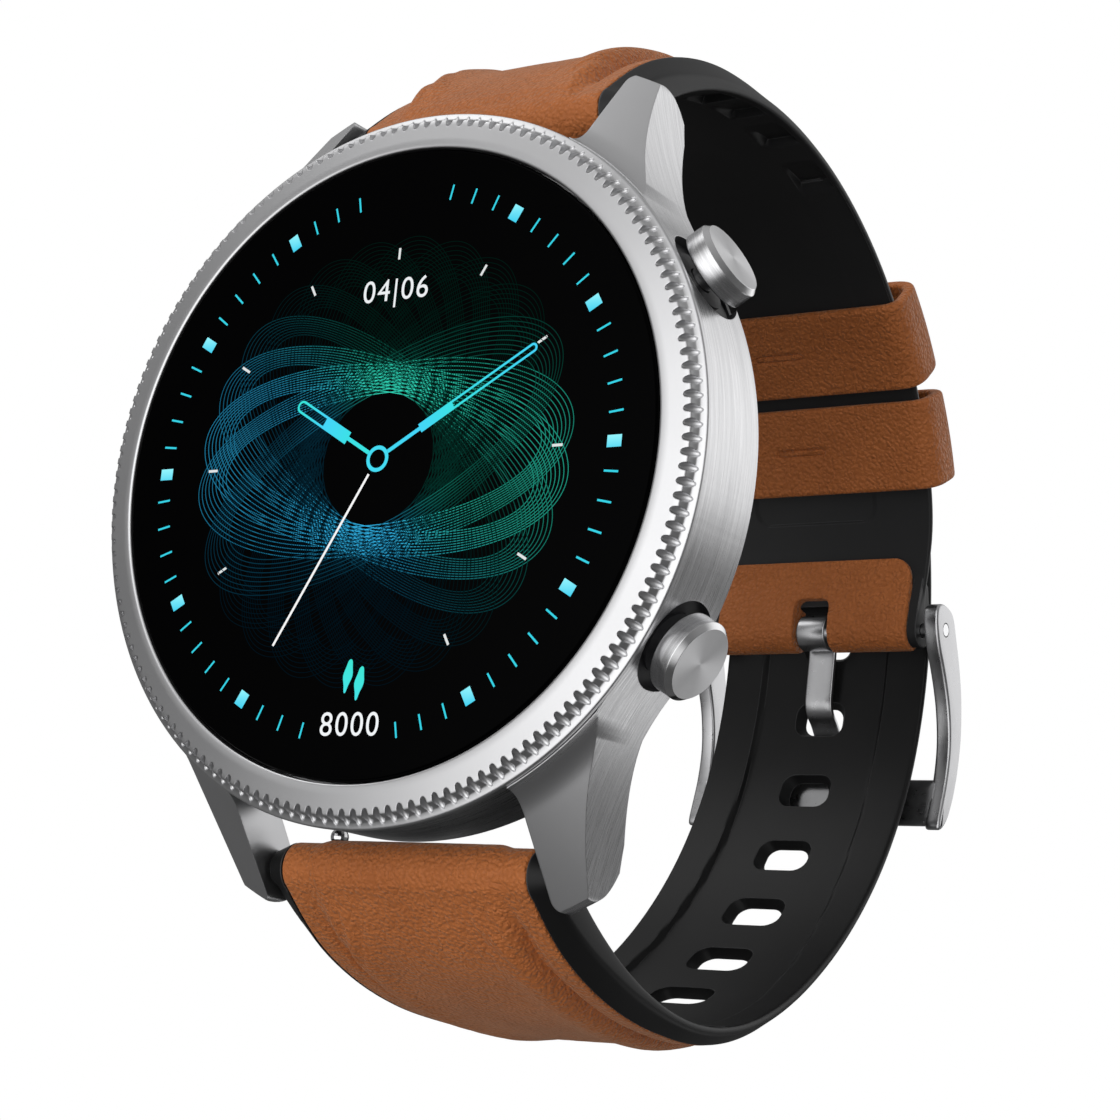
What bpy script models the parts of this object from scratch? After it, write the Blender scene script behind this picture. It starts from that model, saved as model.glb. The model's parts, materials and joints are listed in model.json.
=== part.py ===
"""Round smartwatch on a leather and silicone strap, closed in its wearing loop.

The dial faces -Y, 12 o'clock is +Z, 3 o'clock is +X, and the origin is the centre of the
cover glass's front face. The strap is laid out in polar stations about LOOP_CENTRE, in the
YZ plane: angle 0 is straight behind the watch and 90 degrees is straight above it.
"""
import math

import bmesh
import bpy
from mathutils import Matrix, Vector

MM = 0.001
WELD = 0.000001

# Watch head, radii from the dial axis and depths behind the glass front
GLASS_RADIUS = 20.15 * MM
GLASS_DEPTH = 1.1 * MM
BEZEL_LIP_RADIUS = 20.25 * MM
BEZEL_RADIUS = 22.9 * MM
BEZEL_BACK = 1.4 * MM
SPIGOT_RADIUS = 19.85 * MM
LEDGE_RADIUS = 19.0 * MM
CASE_RADIUS = 22.75 * MM
CASE_FRONT = 1.5 * MM
CASE_BACK = 7.3 * MM
CAVITY_RADIUS = 19.95 * MM
ROUND_STEPS = 96

# Lugs
LUG_GAP = 22.0 * MM
LUG_TIP_Z = 26.85 * MM

# Buttons: axis in the dial plane, at this depth and these clock angles from 12
BUTTON_DEPTH = 4.8 * MM
BUTTON_ANGLES = {"upper": 60.0, "lower": 120.0}
BUTTON_HEAD_RADIUS = 2.58 * MM
BUTTON_HEAD_BACK = 23.15 * MM
BUTTON_FACE = 24.75 * MM
POCKET_RADIUS = 3.0 * MM
POCKET_FLOOR = 22.0 * MM
BUTTON_TRAVEL = 0.6 * MM

# Strap loop
LOOP_CENTRE = Vector((0, 27.0 * MM, 0))
LUG_STATION = 127.4
PIVOT_RADIUS = 30.9 * MM
BARREL_RADIUS = 1.22 * MM
STRAP_HALF_WIDTH = 10.8 * MM
TAIL_HALF_WIDTH = 9.0 * MM
RIM_WIDTH = 1.3 * MM
SKIN_GAP = 0.06 * MM

# Spring bars
BAR_TUBE_RADIUS = 0.75 * MM
BAR_BORE_RADIUS = 0.47 * MM
PIN_RADIUS = 0.4 * MM
PIN_REACH = 12.0 * MM
KNOB_X = -7.3 * MM
KNOB_REACH = 2.6 * MM
KNOB_ANGLE = -60.0
RELEASE_TRAVEL = 1.3 * MM

# Buckle end
BUCKLE_STATION = 1.65
BUCKLE_BAR_ORBIT = 31.5 * MM
BUCKLE_BAR_RADIUS = 0.5 * MM
ARM_INNER_X = 9.95 * MM
ARM_OUTER_X = 11.2 * MM
CHEEK_INNER_X = 8.45 * MM
CHEEK_OUTER_X = 9.2 * MM

# Tail holes, by station on the lower strap
HOLE_STATIONS = [-22.1 + 10.7 * index for index in range(9)]
HOLE_WIDTH = 4.9 * MM
HOLE_HEIGHT = 3.1 * MM

# Shape laws along the strap: station in degrees against millimetres
HALF_WIDTH_UPPER = [(0, 9.1), (5.6, 9.15), (11, 9.6), (16, 10.0), (22, 10.2), (50, 10.45), (80, 10.65),
                    (112, 10.8), (127.4, 10.8)]
HALF_WIDTH_LOWER = [(-64, 9.0), (52, 9.0), (67, 9.28), (82, 9.9), (97, 10.52), (112, 10.8), (127.4, 10.8)]
INNER_RADIUS_UPPER = [(0, 31.4), (60, 31.4), (76, 31.5), (93, 31.5), (111, 30.9), (127.4, 29.7)]
INNER_RADIUS_LOWER = [(-64, 33.0), (16, 33.0), (30, 32.8), (45, 32.5), (62, 32.3), (78, 32.1),
                      (93, 31.7), (111, 30.8), (127.4, 29.7)]
WALL_HEIGHT = [(0, 0.5), (60, 0.55), (93, 0.6), (102, 0.75), (111, 1.15), (119, 1.75), (127.4, 2.25)]
RIM_HEIGHT_UPPER = [(0, 0.95), (66, 1.0), (80, 1.2), (93, 1.75), (102, 2.2), (111, 2.55), (119, 2.8),
                    (127.4, 2.85)]
RIM_HEIGHT_LOWER = [(-64, 1.35), (70, 1.35), (93, 1.35), (102, 1.75), (111, 2.3), (119, 2.75),
                    (127.4, 2.85)]
CROWN_UPPER = [(0, 0.4), (60, 0.45), (93, 0.6), (105, 0.85), (119, 0.8), (127.4, 0.25)]
CROWN_LOWER = [(60, 0.25), (80, 0.25), (93, 0.3), (105, 0.4), (119, 0.5), (127.4, 0.2)]
BED_DEPTH = 0.5
LEATHER_TIP_STATION = 73.0
TAIL_TIP_STATION = -57.0


def remove_scene_objects():
    for obj in list(bpy.data.objects):
        bpy.data.objects.remove(obj, do_unlink=True)


def make_collection(name):
    collection = bpy.data.collections.new(name)
    bpy.context.scene.collection.children.link(collection)
    return collection


def make_material(name, colour, roughness, metallic=0.0):
    material = bpy.data.materials.new(name)
    material.use_nodes = True
    shader = material.node_tree.nodes["Principled BSDF"]
    shader.inputs["Base Color"].default_value = (*colour, 1.0)
    shader.inputs["Roughness"].default_value = roughness
    shader.inputs["Metallic"].default_value = metallic
    return material


remove_scene_objects()
WATCH = make_collection("smartwatch")
STEEL = make_material("steel", (0.62, 0.62, 0.63), 0.3, 1.0)
POLISHED = make_material("polished_steel", (0.75, 0.75, 0.76), 0.1, 1.0)
GLASS = make_material("glass", (0.01, 0.01, 0.012), 0.03)
PLASTIC = make_material("plastic", (0.03, 0.03, 0.035), 0.5)
BOARD = make_material("board", (0.02, 0.09, 0.05), 0.5)
FOIL = make_material("foil", (0.35, 0.36, 0.38), 0.4, 0.6)
GOLD = make_material("gold", (0.85, 0.6, 0.25), 0.25, 1.0)
RUBBER = make_material("rubber", (0.015, 0.015, 0.016), 0.6)
LEATHER = make_material("leather", (0.33, 0.12, 0.045), 0.6)


def mesh_object(name, bm, material):
    """Closed mesh object from a bmesh, faces turned outwards."""
    bmesh.ops.remove_doubles(bm, verts=bm.verts, dist=WELD)
    bmesh.ops.recalc_face_normals(bm, faces=bm.faces)
    mesh = bpy.data.meshes.new(name)
    bm.to_mesh(mesh)
    bm.free()
    obj = bpy.data.objects.new(name, mesh)
    WATCH.objects.link(obj)
    if material:
        mesh.materials.append(material)
        mesh.shade_smooth()
        mesh.set_sharp_from_angle(angle=math.radians(35))
    return obj


def bake(obj):
    """Apply an object's modifiers and keep its faces turned outwards."""
    evaluated = obj.evaluated_get(bpy.context.evaluated_depsgraph_get())
    mesh = bpy.data.meshes.new_from_object(evaluated)
    bm = bmesh.new()
    bm.from_mesh(mesh)
    bmesh.ops.remove_doubles(bm, verts=bm.verts, dist=WELD)
    bmesh.ops.dissolve_degenerate(bm, edges=bm.edges, dist=WELD)
    bmesh.ops.recalc_face_normals(bm, faces=bm.faces)
    bm.to_mesh(mesh)
    bm.free()
    obj.modifiers.clear()
    obj.data = mesh
    return obj


def combine(obj, tool, operation):
    """Join, cut or trim one object with another, and put the tool away."""
    modifier = obj.modifiers.new(operation.lower(), "BOOLEAN")
    modifier.object = tool
    modifier.operation = operation
    modifier.solver = "EXACT"
    bake(obj)
    bpy.data.objects.remove(tool, do_unlink=True)
    return obj


def turned(name, profile, material, steps=ROUND_STEPS):
    """Solid turned about the dial axis from (radius, depth) points, open at the axis or a closed ring."""
    bm = bmesh.new()
    verts = [bm.verts.new((radius, depth, 0)) for radius, depth in profile]
    for start, end in zip(verts, verts[1:]):
        bm.edges.new((start, end))
    if profile[0][0] > 0:
        bm.edges.new((verts[-1], verts[0]))
    mesh = bpy.data.meshes.new(name)
    bm.to_mesh(mesh)
    bm.free()
    obj = bpy.data.objects.new(name, mesh)
    WATCH.objects.link(obj)
    screw = obj.modifiers.new("turn", "SCREW")
    screw.axis = "Y"
    screw.steps = steps
    screw.render_steps = steps
    screw.use_merge_vertices = True
    screw.merge_threshold = WELD
    bake(obj)
    obj.data.materials.append(material)
    obj.data.shade_smooth()
    obj.data.set_sharp_from_angle(angle=math.radians(35))
    return obj


def aim(direction):
    """Rotation that turns the local Z axis along a direction."""
    return Vector(direction).to_track_quat("Z", "Y").to_matrix().to_4x4()


def rod(name, start, end, radius, material, steps=24, end_radius=None):
    """Cylinder or cone between two points."""
    start, end = Vector(start), Vector(end)
    span = end - start
    bm = bmesh.new()
    bmesh.ops.create_cone(bm, cap_ends=True, segments=steps, radius1=radius,
                          radius2=radius if end_radius is None else end_radius, depth=span.length)
    bm.transform(Matrix.Translation((start + end) / 2) @ aim(span))
    return mesh_object(name, bm, material)


def spindle(name, profile, origin, direction, material, steps=32):
    """Solid turned about any axis from (radius, distance along it) points."""
    obj = turned(name, profile, material, steps)
    obj.data.transform(Matrix.Translation(origin) @ aim(direction) @ Matrix.Rotation(math.pi / 2, 4, "X"))
    return obj


def box(name, low, high, material, bevel=0.0):
    """Box between two corners, optionally with its edges bevelled."""
    low, high = Vector(low), Vector(high)
    bm = bmesh.new()
    bmesh.ops.create_cube(bm, size=1.0)
    bm.transform(Matrix.Translation((low + high) / 2) @ Matrix.Diagonal((*(high - low), 1.0)))
    if bevel:
        bmesh.ops.bevel(bm, geom=bm.edges[:], offset=bevel, segments=2, affect="EDGES", profile=0.5)
    return mesh_object(name, bm, material)


def prism(name, outline, near, far, material):
    """Flat outline of points, extruded from the near offset to the far offset."""
    bm = bmesh.new()
    face = bm.faces.new([bm.verts.new(Vector(point) + Vector(near)) for point in outline])
    grown = bmesh.ops.extrude_face_region(bm, geom=[face])
    moved = [item for item in grown["geom"] if isinstance(item, bmesh.types.BMVert)]
    bmesh.ops.translate(bm, verts=moved, vec=Vector(far) - Vector(near))
    bmesh.ops.triangulate(bm, faces=[item for item in bm.faces if len(item.verts) > 4])
    return mesh_object(name, bm, material)


def loft(name, rings, material):
    """Closed skin through rings of equal length, capped at both ends."""
    bm = bmesh.new()
    layers = [[bm.verts.new(point) for point in ring] for ring in rings]
    for lower, upper in zip(layers, layers[1:]):
        for index, vert in enumerate(lower):
            following = (index + 1) % len(lower)
            bm.faces.new((vert, lower[following], upper[following], upper[index]))
    bm.faces.new(layers[0])
    bm.faces.new(layers[-1])
    return mesh_object(name, bm, material)


def bezier(points, count):
    """Points along a Bezier curve of any order."""
    order = len(points) - 1
    curve = []
    for step in range(count + 1):
        t = step / count
        weights = [math.comb(order, i) * t ** i * (1 - t) ** (order - i) for i in range(order + 1)]
        curve.append(tuple(sum(w * p[axis] for w, p in zip(weights, points)) for axis in (0, 1)))
    return curve


def law(table, station):
    """Smooth value of a shape law at a station, in metres."""
    for index in range(len(table) - 1):
        if station <= table[index + 1][0] or index == len(table) - 2:
            break
    x0, y0 = table[index]
    x1, y1 = table[index + 1]
    before = table[max(index - 1, 0)]
    after = table[min(index + 2, len(table) - 1)]
    slope0 = (y1 - before[1]) / (x1 - before[0])
    slope1 = (after[1] - y0) / (after[0] - x0)
    span = x1 - x0
    t = min(max((station - x0) / span, 0.0), 1.0)
    value = (y0 * (2 * t ** 3 - 3 * t ** 2 + 1) + slope0 * span * (t ** 3 - 2 * t ** 2 + t)
             + y1 * (3 * t ** 2 - 2 * t ** 3) + slope1 * span * (t ** 3 - t ** 2))
    return value * MM


def polar(station, radius, side=1, x=0.0):
    """World point at a strap station; side -1 mirrors it to the lower strap."""
    angle = math.radians(station)
    return LOOP_CENTRE + Vector((x, radius * math.cos(angle), side * radius * math.sin(angle)))


def half_width(station, side):
    """Half the strap's width at a station of the upper (side 1) or the lower (side -1) strap."""
    return law(HALF_WIDTH_UPPER if side > 0 else HALF_WIDTH_LOWER, station)


def stations_between(start, end, step=4.0):
    count = max(1, round(abs(end - start) / step))
    return [start + (end - start) * index / count for index in range(count + 1)]


def pivot_point(side):
    """Centre of a strap half's spring bar."""
    return polar(LUG_STATION, PIVOT_RADIUS, side)


def around_pivot(angle, reach, side, x=0.0):
    """Point at an angle and distance from the spring bar, in the strap's own plane."""
    turn = math.radians(angle)
    return pivot_point(side) + Vector((x, reach * math.cos(turn), side * reach * math.sin(turn)))


# --- watch head ---------------------------------------------------------------------------

def lug_outline():
    """Outline of one lug in plan, from the flank at its outer side round to its inner side."""
    start_angle = math.radians(38.0)
    start = Vector((CASE_RADIUS * math.cos(start_angle), CASE_RADIUS * math.sin(start_angle)))
    tangent = Vector((-math.sin(start_angle), math.cos(start_angle)))
    shoulder = (13.4 * MM, 25.3 * MM)
    outer = bezier([start, start + tangent * 4.0 * MM, (14.15 * MM, 21.9 * MM), shoulder], 12)
    tip = bezier([shoulder, (13.2 * MM, 26.4 * MM), (12.6 * MM, LUG_TIP_Z), (11.8 * MM, LUG_TIP_Z)], 4)
    corner = bezier([(11.8 * MM, LUG_TIP_Z), (LUG_GAP / 2, LUG_TIP_Z), (LUG_GAP / 2, LUG_TIP_Z - 0.7 * MM)], 3)
    return outer + tip[1:] + corner[1:]


def case_plan():
    """Closed plan of the case: flank circle with four lugs and the gaps between them."""
    quarter = lug_outline()
    gap_angle = math.acos(LUG_GAP / 2 / CASE_RADIUS)
    flank = [math.radians(angle) for angle in (0, 7.6, 15.2, 22.8, 30.4)]
    side = [(CASE_RADIUS * math.cos(a), CASE_RADIUS * math.sin(a)) for a in flank]
    between = [gap_angle + (math.pi / 2 - gap_angle) * step / 6 for step in range(7)]
    top = [(CASE_RADIUS * math.cos(a), CASE_RADIUS * math.sin(a)) for a in between]
    upper_right = side + quarter + top
    upper_left = [(-x, z) for x, z in reversed(upper_right[:-1])]
    upper = upper_right + upper_left
    lower = [(x, -z) for x, z in reversed(upper[1:-1])]
    return [(x, 0, z) for x, z in upper + lower]


def case_envelope():
    """Turned form that the case and the lugs are both cut from: front cone and drooping backs."""
    front = bezier([(23.0 * MM, CASE_FRONT), (23.05 * MM, 2.7 * MM), (24.35 * MM, 3.75 * MM)], 5)
    tip = bezier([(29.0 * MM, 7.75 * MM), (29.4 * MM, 9.6 * MM), (27.6 * MM, 10.3 * MM)], 4)
    under = bezier([(26.4 * MM, 9.85 * MM), (24.6 * MM, 8.5 * MM), (23.2 * MM, CASE_BACK)], 3)
    groove = [(21.4 * MM, CASE_BACK), (21.4 * MM, 7.0 * MM), (20.6 * MM, 7.0 * MM), (20.6 * MM, CASE_BACK)]
    ring = front + tip + under + groove
    return [(CAVITY_RADIUS, CASE_FRONT)] + ring + [(CAVITY_RADIUS, CASE_BACK)]


def radial(angle_deg, distance, depth):
    """Point in the dial's clock directions, measured from 12 towards 3."""
    angle = math.radians(angle_deg)
    return Vector((distance * math.sin(angle), depth, distance * math.cos(angle)))


SCREW_ORBIT = 18.3 * MM
SCREW_ANGLES = (45.0, 135.0, 225.0, 315.0)


def build_case():
    case = turned("case_body", case_envelope(), STEEL)
    plan = prism("case_plan", case_plan(), (0, 1.0 * MM, 0), (0, 11.0 * MM, 0), None)
    combine(case, plan, "INTERSECT")
    for angle in SCREW_ANGLES:
        boss = rod("boss", radial(angle, SCREW_ORBIT, 5.2 * MM), radial(angle, SCREW_ORBIT, 7.25 * MM),
                   1.85 * MM, None, 20)
        combine(case, boss, "UNION")
        hole = rod("hole", radial(angle, SCREW_ORBIT, 5.6 * MM), radial(angle, SCREW_ORBIT, 7.6 * MM),
                   0.58 * MM, None, 12)
        combine(case, hole, "DIFFERENCE")
    for angle in BUTTON_ANGLES.values():
        pocket = rod("pocket", radial(angle, POCKET_FLOOR, BUTTON_DEPTH),
                     radial(angle, 26.0 * MM, BUTTON_DEPTH), POCKET_RADIUS, None, 32)
        combine(case, pocket, "DIFFERENCE")
        bore = rod("bore", radial(angle, 18.0 * MM, BUTTON_DEPTH),
                   radial(angle, 24.0 * MM, BUTTON_DEPTH), 1.65 * MM, None, 24)
        combine(case, bore, "DIFFERENCE")
    for side in (1, -1):
        centre = pivot_point(side)
        reach = Vector((12.3 * MM, 0, 0))
        socket = rod("socket", centre - reach, centre + reach, 0.5 * MM, None, 16)
        combine(case, socket, "DIFFERENCE")
    case.data.materials.clear()
    case.data.materials.append(STEEL)


def build_bezel():
    profile = [(BEZEL_LIP_RADIUS, 0.12 * MM), (20.42 * MM, -0.03 * MM), (22.2 * MM, 0.28 * MM),
               (22.4 * MM, 0.85 * MM), (BEZEL_RADIUS, 1.08 * MM), (BEZEL_RADIUS, BEZEL_BACK),
               (SPIGOT_RADIUS, BEZEL_BACK), (SPIGOT_RADIUS, 2.1 * MM), (LEDGE_RADIUS, 2.1 * MM),
               (LEDGE_RADIUS, 1.35 * MM), (BEZEL_LIP_RADIUS, 1.35 * MM)]
    turned("bezel_ring", profile, STEEL)


def build_front():
    bead = 0.15 * MM
    turned("cover_glass", [(0, 0), (GLASS_RADIUS - bead, 0), (GLASS_RADIUS, bead),
                           (GLASS_RADIUS, GLASS_DEPTH), (0, GLASS_DEPTH)], GLASS)
    turned("glass_gasket", [(19.1 * MM, 1.14 * MM), (20.1 * MM, 1.14 * MM), (20.1 * MM, 1.3 * MM),
                            (19.1 * MM, 1.3 * MM)], RUBBER, 64)
    turned("display_panel", [(0, 1.15 * MM), (18.7 * MM, 1.15 * MM), (18.7 * MM, 1.75 * MM),
                             (0, 1.75 * MM)], PLASTIC, 64)
    flex = box("display_flex", (-4 * MM, 1.85 * MM, -16.2 * MM), (4 * MM, 2.0 * MM, -8.0 * MM), GOLD)
    tail = box("flex_tail", (-4 * MM, 1.9 * MM, -16.3 * MM), (4 * MM, 3.35 * MM, -16.15 * MM), None)
    combine(flex, tail, "UNION")


def build_chassis():
    chassis = turned("inner_chassis", [(0, 2.25 * MM), (19.5 * MM, 2.25 * MM), (19.5 * MM, 3.2 * MM),
                                       (0, 3.2 * MM)], PLASTIC)
    window = box("window", (-5 * MM, 2 * MM, -17.2 * MM), (5 * MM, 4 * MM, -15.3 * MM), None)
    combine(chassis, window, "DIFFERENCE")
    for name, angle in BUTTON_ANGLES.items():
        relief = box("relief", (-2.6 * MM, 2 * MM, 17.2 * MM), (2.6 * MM, 4 * MM, 21 * MM), None)
        relief.data.transform(Matrix.Rotation(math.radians(angle), 4, "Y"))
        combine(chassis, relief, "DIFFERENCE")
    turned("main_board", [(0, 3.4 * MM), (16.2 * MM, 3.4 * MM), (16.2 * MM, 4.1 * MM), (0, 4.1 * MM)], BOARD, 64)
    box("processor_shield", (-9.5 * MM, 4.15 * MM, -9.5 * MM), (0.5 * MM, 4.95 * MM, -2.0 * MM), FOIL, 0.2 * MM)
    box("battery", (-11.5 * MM, 4.3 * MM, -1.0 * MM), (11.5 * MM, 7.5 * MM, 12.0 * MM), FOIL, 0.6 * MM)
    box("speaker", (3.0 * MM, 4.2 * MM, -9.0 * MM), (11.5 * MM, 6.6 * MM, -2.5 * MM), PLASTIC, 0.3 * MM)


MOTOR_AXIS = Vector((0, 6.0 * MM, -12.4 * MM))


def build_motor():
    """Cylinder motor across the case, its half-round weight turning on the shaft's end."""
    along = Vector((1, 0, 0))
    housing = rod("motor_housing", MOTOR_AXIS - along * 5.5 * MM, MOTOR_AXIS + along * 3.0 * MM,
                  1.7 * MM, FOIL)
    bore = rod("shaft_bore", MOTOR_AXIS + along * 1.0 * MM, MOTOR_AXIS + along * 4.0 * MM,
               0.42 * MM, None, 16)
    combine(housing, bore, "DIFFERENCE")
    rotor = rod("vibration_rotor", MOTOR_AXIS + along * 1.3 * MM, MOTOR_AXIS + along * 6.6 * MM,
                0.35 * MM, POLISHED, 16)
    arc = [math.pi * (step / 12 - 0.5) for step in range(13)]
    outline = [(0, 1.6 * MM * math.sin(angle), 1.6 * MM * math.cos(angle)) for angle in arc]
    weight = prism("weight", outline, MOTOR_AXIS + along * 3.5 * MM, MOTOR_AXIS + along * 6.2 * MM, None)
    combine(rotor, weight, "UNION")
    return [rotor]


COVER_RADIUS = 22.2 * MM
WINDOW_RADIUS = 7.5 * MM
WINDOW_BACK = 10.1 * MM


def build_back():
    outer = bezier([(COVER_RADIUS, 7.75 * MM), (21.9 * MM, 9.0 * MM), (17.4 * MM, 9.3 * MM)], 4)
    cover = turned("back_cover", [(7.8 * MM, 8.4 * MM), (16.6 * MM, 8.4 * MM), (19.3 * MM, 7.4 * MM),
                                  (COVER_RADIUS, 7.4 * MM)] + outer + [(7.8 * MM, 9.5 * MM)], PLASTIC, 64)
    for angle in SCREW_ANGLES:
        sink = rod("sink", radial(angle, SCREW_ORBIT, 8.35 * MM), radial(angle, SCREW_ORBIT, 10 * MM),
                   1.15 * MM, None, 20)
        combine(cover, sink, "DIFFERENCE")
        hole = rod("hole", radial(angle, SCREW_ORBIT, 7 * MM), radial(angle, SCREW_ORBIT, 9 * MM),
                   0.58 * MM, None, 12)
        combine(cover, hole, "DIFFERENCE")
    for side in (1, -1):
        seat = rod("seat", (side * 1.6 * MM, 8.9 * MM, -12.0 * MM), (side * 1.6 * MM, 10 * MM, -12.0 * MM),
                   1.05 * MM, None, 24)
        combine(cover, seat, "DIFFERENCE")
        rod("charge_contact_left" if side < 0 else "charge_contact_right",
            (side * 1.6 * MM, 8.95 * MM, -12.0 * MM), (side * 1.6 * MM, 9.5 * MM, -12.0 * MM),
            1.0 * MM, GOLD)
    turned("back_gasket", [(20.68 * MM, 7.05 * MM), (21.32 * MM, 7.05 * MM), (21.32 * MM, 7.34 * MM),
                           (20.68 * MM, 7.34 * MM)], RUBBER, 64)
    turned("sensor_window", [(0, 8.9 * MM), (7.65 * MM, 8.9 * MM), (7.65 * MM, 9.4 * MM),
                             (6.6 * MM, WINDOW_BACK), (0, WINDOW_BACK)], GLASS, 64)
    turned("sensor_board", [(0, 7.9 * MM), (6.8 * MM, 7.9 * MM), (6.8 * MM, 8.6 * MM), (0, 8.6 * MM)],
           BOARD, 48)
    for number, angle in enumerate(SCREW_ANGLES, start=1):
        profile = [(0, 5.8 * MM), (0.5 * MM, 5.8 * MM), (0.5 * MM, 8.4 * MM), (1.0 * MM, 8.4 * MM),
                   (1.0 * MM, 8.85 * MM), (0.3 * MM, 8.85 * MM), (0.3 * MM, 8.65 * MM), (0, 8.65 * MM)]
        screw = turned("back_screw_%d" % number, profile, STEEL, 16)
        screw.data.transform(Matrix.Translation(radial(angle, SCREW_ORBIT, 0)))


def build_button(name):
    """Pusher with its O-ring and clip; the bushing and the switch stay with the case."""
    angle = BUTTON_ANGLES[name]
    origin = radial(angle, 0, BUTTON_DEPTH)
    outward = radial(angle, 1, 0)
    head = [(0, 18.9 * MM), (0.62 * MM, 18.9 * MM), (0.62 * MM, 19.15 * MM), (0.45 * MM, 19.15 * MM),
            (0.45 * MM, 19.45 * MM), (0.8 * MM, 19.45 * MM), (0.8 * MM, 20.7 * MM), (0.6 * MM, 20.7 * MM),
            (0.6 * MM, 21.05 * MM), (0.8 * MM, 21.05 * MM), (0.8 * MM, BUTTON_HEAD_BACK),
            (BUTTON_HEAD_RADIUS, BUTTON_HEAD_BACK), (BUTTON_HEAD_RADIUS, BUTTON_FACE - 0.35 * MM),
            (BUTTON_HEAD_RADIUS - 0.3 * MM, BUTTON_FACE), (0, BUTTON_FACE)]
    pusher = spindle("%s_button" % name, head, origin, outward, POLISHED)
    seal = spindle("%s_button_oring" % name,
                   [(0.66 * MM, 20.73 * MM), (1.0 * MM, 20.73 * MM), (1.0 * MM, 21.02 * MM),
                    (0.66 * MM, 21.02 * MM)], origin, outward, RUBBER, 20)
    clip = spindle("%s_button_clip" % name,
                   [(0.5 * MM, 19.2 * MM), (1.3 * MM, 19.2 * MM), (1.3 * MM, 19.4 * MM),
                    (0.5 * MM, 19.4 * MM)], origin, outward, POLISHED, 20)
    spindle("%s_button_bushing" % name,
            [(1.05 * MM, 19.55 * MM), (1.55 * MM, 19.55 * MM), (1.55 * MM, 22.05 * MM),
             (2.0 * MM, 22.05 * MM), (2.0 * MM, 22.25 * MM), (0.9 * MM, 22.25 * MM),
             (0.9 * MM, 21.7 * MM), (1.05 * MM, 21.7 * MM)], origin, outward, POLISHED, 24)
    switch = box("%s_button_switch" % name, (-1.8 * MM, BUTTON_DEPTH - 0.7 * MM, 16.4 * MM),
                 (1.8 * MM, BUTTON_DEPTH + 1.1 * MM, 18.2 * MM), PLASTIC, 0.15 * MM)
    switch.data.transform(Matrix.Rotation(math.radians(angle), 4, "Y"))
    return [pusher, seal, clip]


# --- strap --------------------------------------------------------------------------------

def base_ring(station, side, inner_law, rim_law, bed_depth, shrink=1.0):
    """Section of the silicone underlay: side walls, sloping rims and a bed for the leather."""
    inner = law(inner_law, station)
    wall = law(WALL_HEIGHT, max(station, 0))
    rim = law(rim_law, station)
    bed = rim - bed_depth * MM
    half = half_width(station, side) * shrink
    slope = min(RIM_WIDTH, half * 0.4)
    section = [(-half, 0), (half, 0), (half, wall), (half - slope, rim), (half - slope - 0.02 * MM, bed),
               (-half + slope + 0.02 * MM, bed), (-half + slope, rim), (-half, wall)]
    return [polar(station, inner + height, side, x) for x, height in section]


def leather_ring(station, side, inner_law, rim_law):
    """Section of the leather: flat below, crowned on top."""
    bottom = law(inner_law, station) + law(rim_law, station) + (SKIN_GAP - BED_DEPTH * MM)
    top = law(inner_law, station) + law(rim_law, station)
    crown = law(CROWN_UPPER if side > 0 else CROWN_LOWER, station)
    half = half_width(station, side) - RIM_WIDTH - 2 * SKIN_GAP
    section = [(-half, bottom), (half, bottom), (half, top), (half * 0.75, top + crown * 0.7),
               (half * 0.4, top + crown), (-half * 0.4, top + crown), (-half * 0.75, top + crown * 0.7),
               (-half, top)]
    return [polar(station, radius, side, x) for x, radius in section]


def barrel_leather_ring(angle, side):
    """Section of the leather where it wraps the spring bar's barrel."""
    half = STRAP_HALF_WIDTH - RIM_WIDTH - 2 * SKIN_GAP
    bottom = BARREL_RADIUS + SKIN_GAP
    crown = 0.2 * MM
    top = 1.68 * MM
    section = [(-half, bottom), (half, bottom), (half, top), (half * 0.75, top + crown * 0.7),
               (half * 0.4, top + crown), (-half * 0.4, top + crown), (-half * 0.75, top + crown * 0.7),
               (-half, top)]
    return [around_pivot(angle, reach, side, x) for x, reach in section]


def add_barrel(base, side):
    """Round end of the underlay, bored for the spring bar and slotted for its knob."""
    centre = pivot_point(side)
    across = Vector((1, 0, 0))
    inner_x = STRAP_HALF_WIDTH - RIM_WIDTH
    barrel = rod("barrel", centre - across * inner_x, centre + across * inner_x, BARREL_RADIUS, None, 32)
    combine(base, barrel, "UNION")
    for end in (1, -1):
        flange = rod("flange", centre + across * end * (inner_x - 0.02 * MM),
                     centre + across * end * (STRAP_HALF_WIDTH - 0.03 * MM),
                     1.65 * MM, None, 32, 1.15 * MM)
        combine(base, flange, "UNION")
    bore = rod("bore", centre - across * 12 * MM, centre + across * 12 * MM, 0.82 * MM, None, 24)
    combine(base, bore, "DIFFERENCE")
    slot = box("slot", (KNOB_X - 0.6 * MM, 0, -0.45 * MM), (KNOB_X + RELEASE_TRAVEL + 0.6 * MM, 3 * MM, 0.45 * MM),
               None)
    slot.data.transform(Matrix.Translation(centre) @ Matrix.Rotation(side * math.radians(KNOB_ANGLE), 4, "X"))
    combine(base, slot, "DIFFERENCE")


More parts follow.
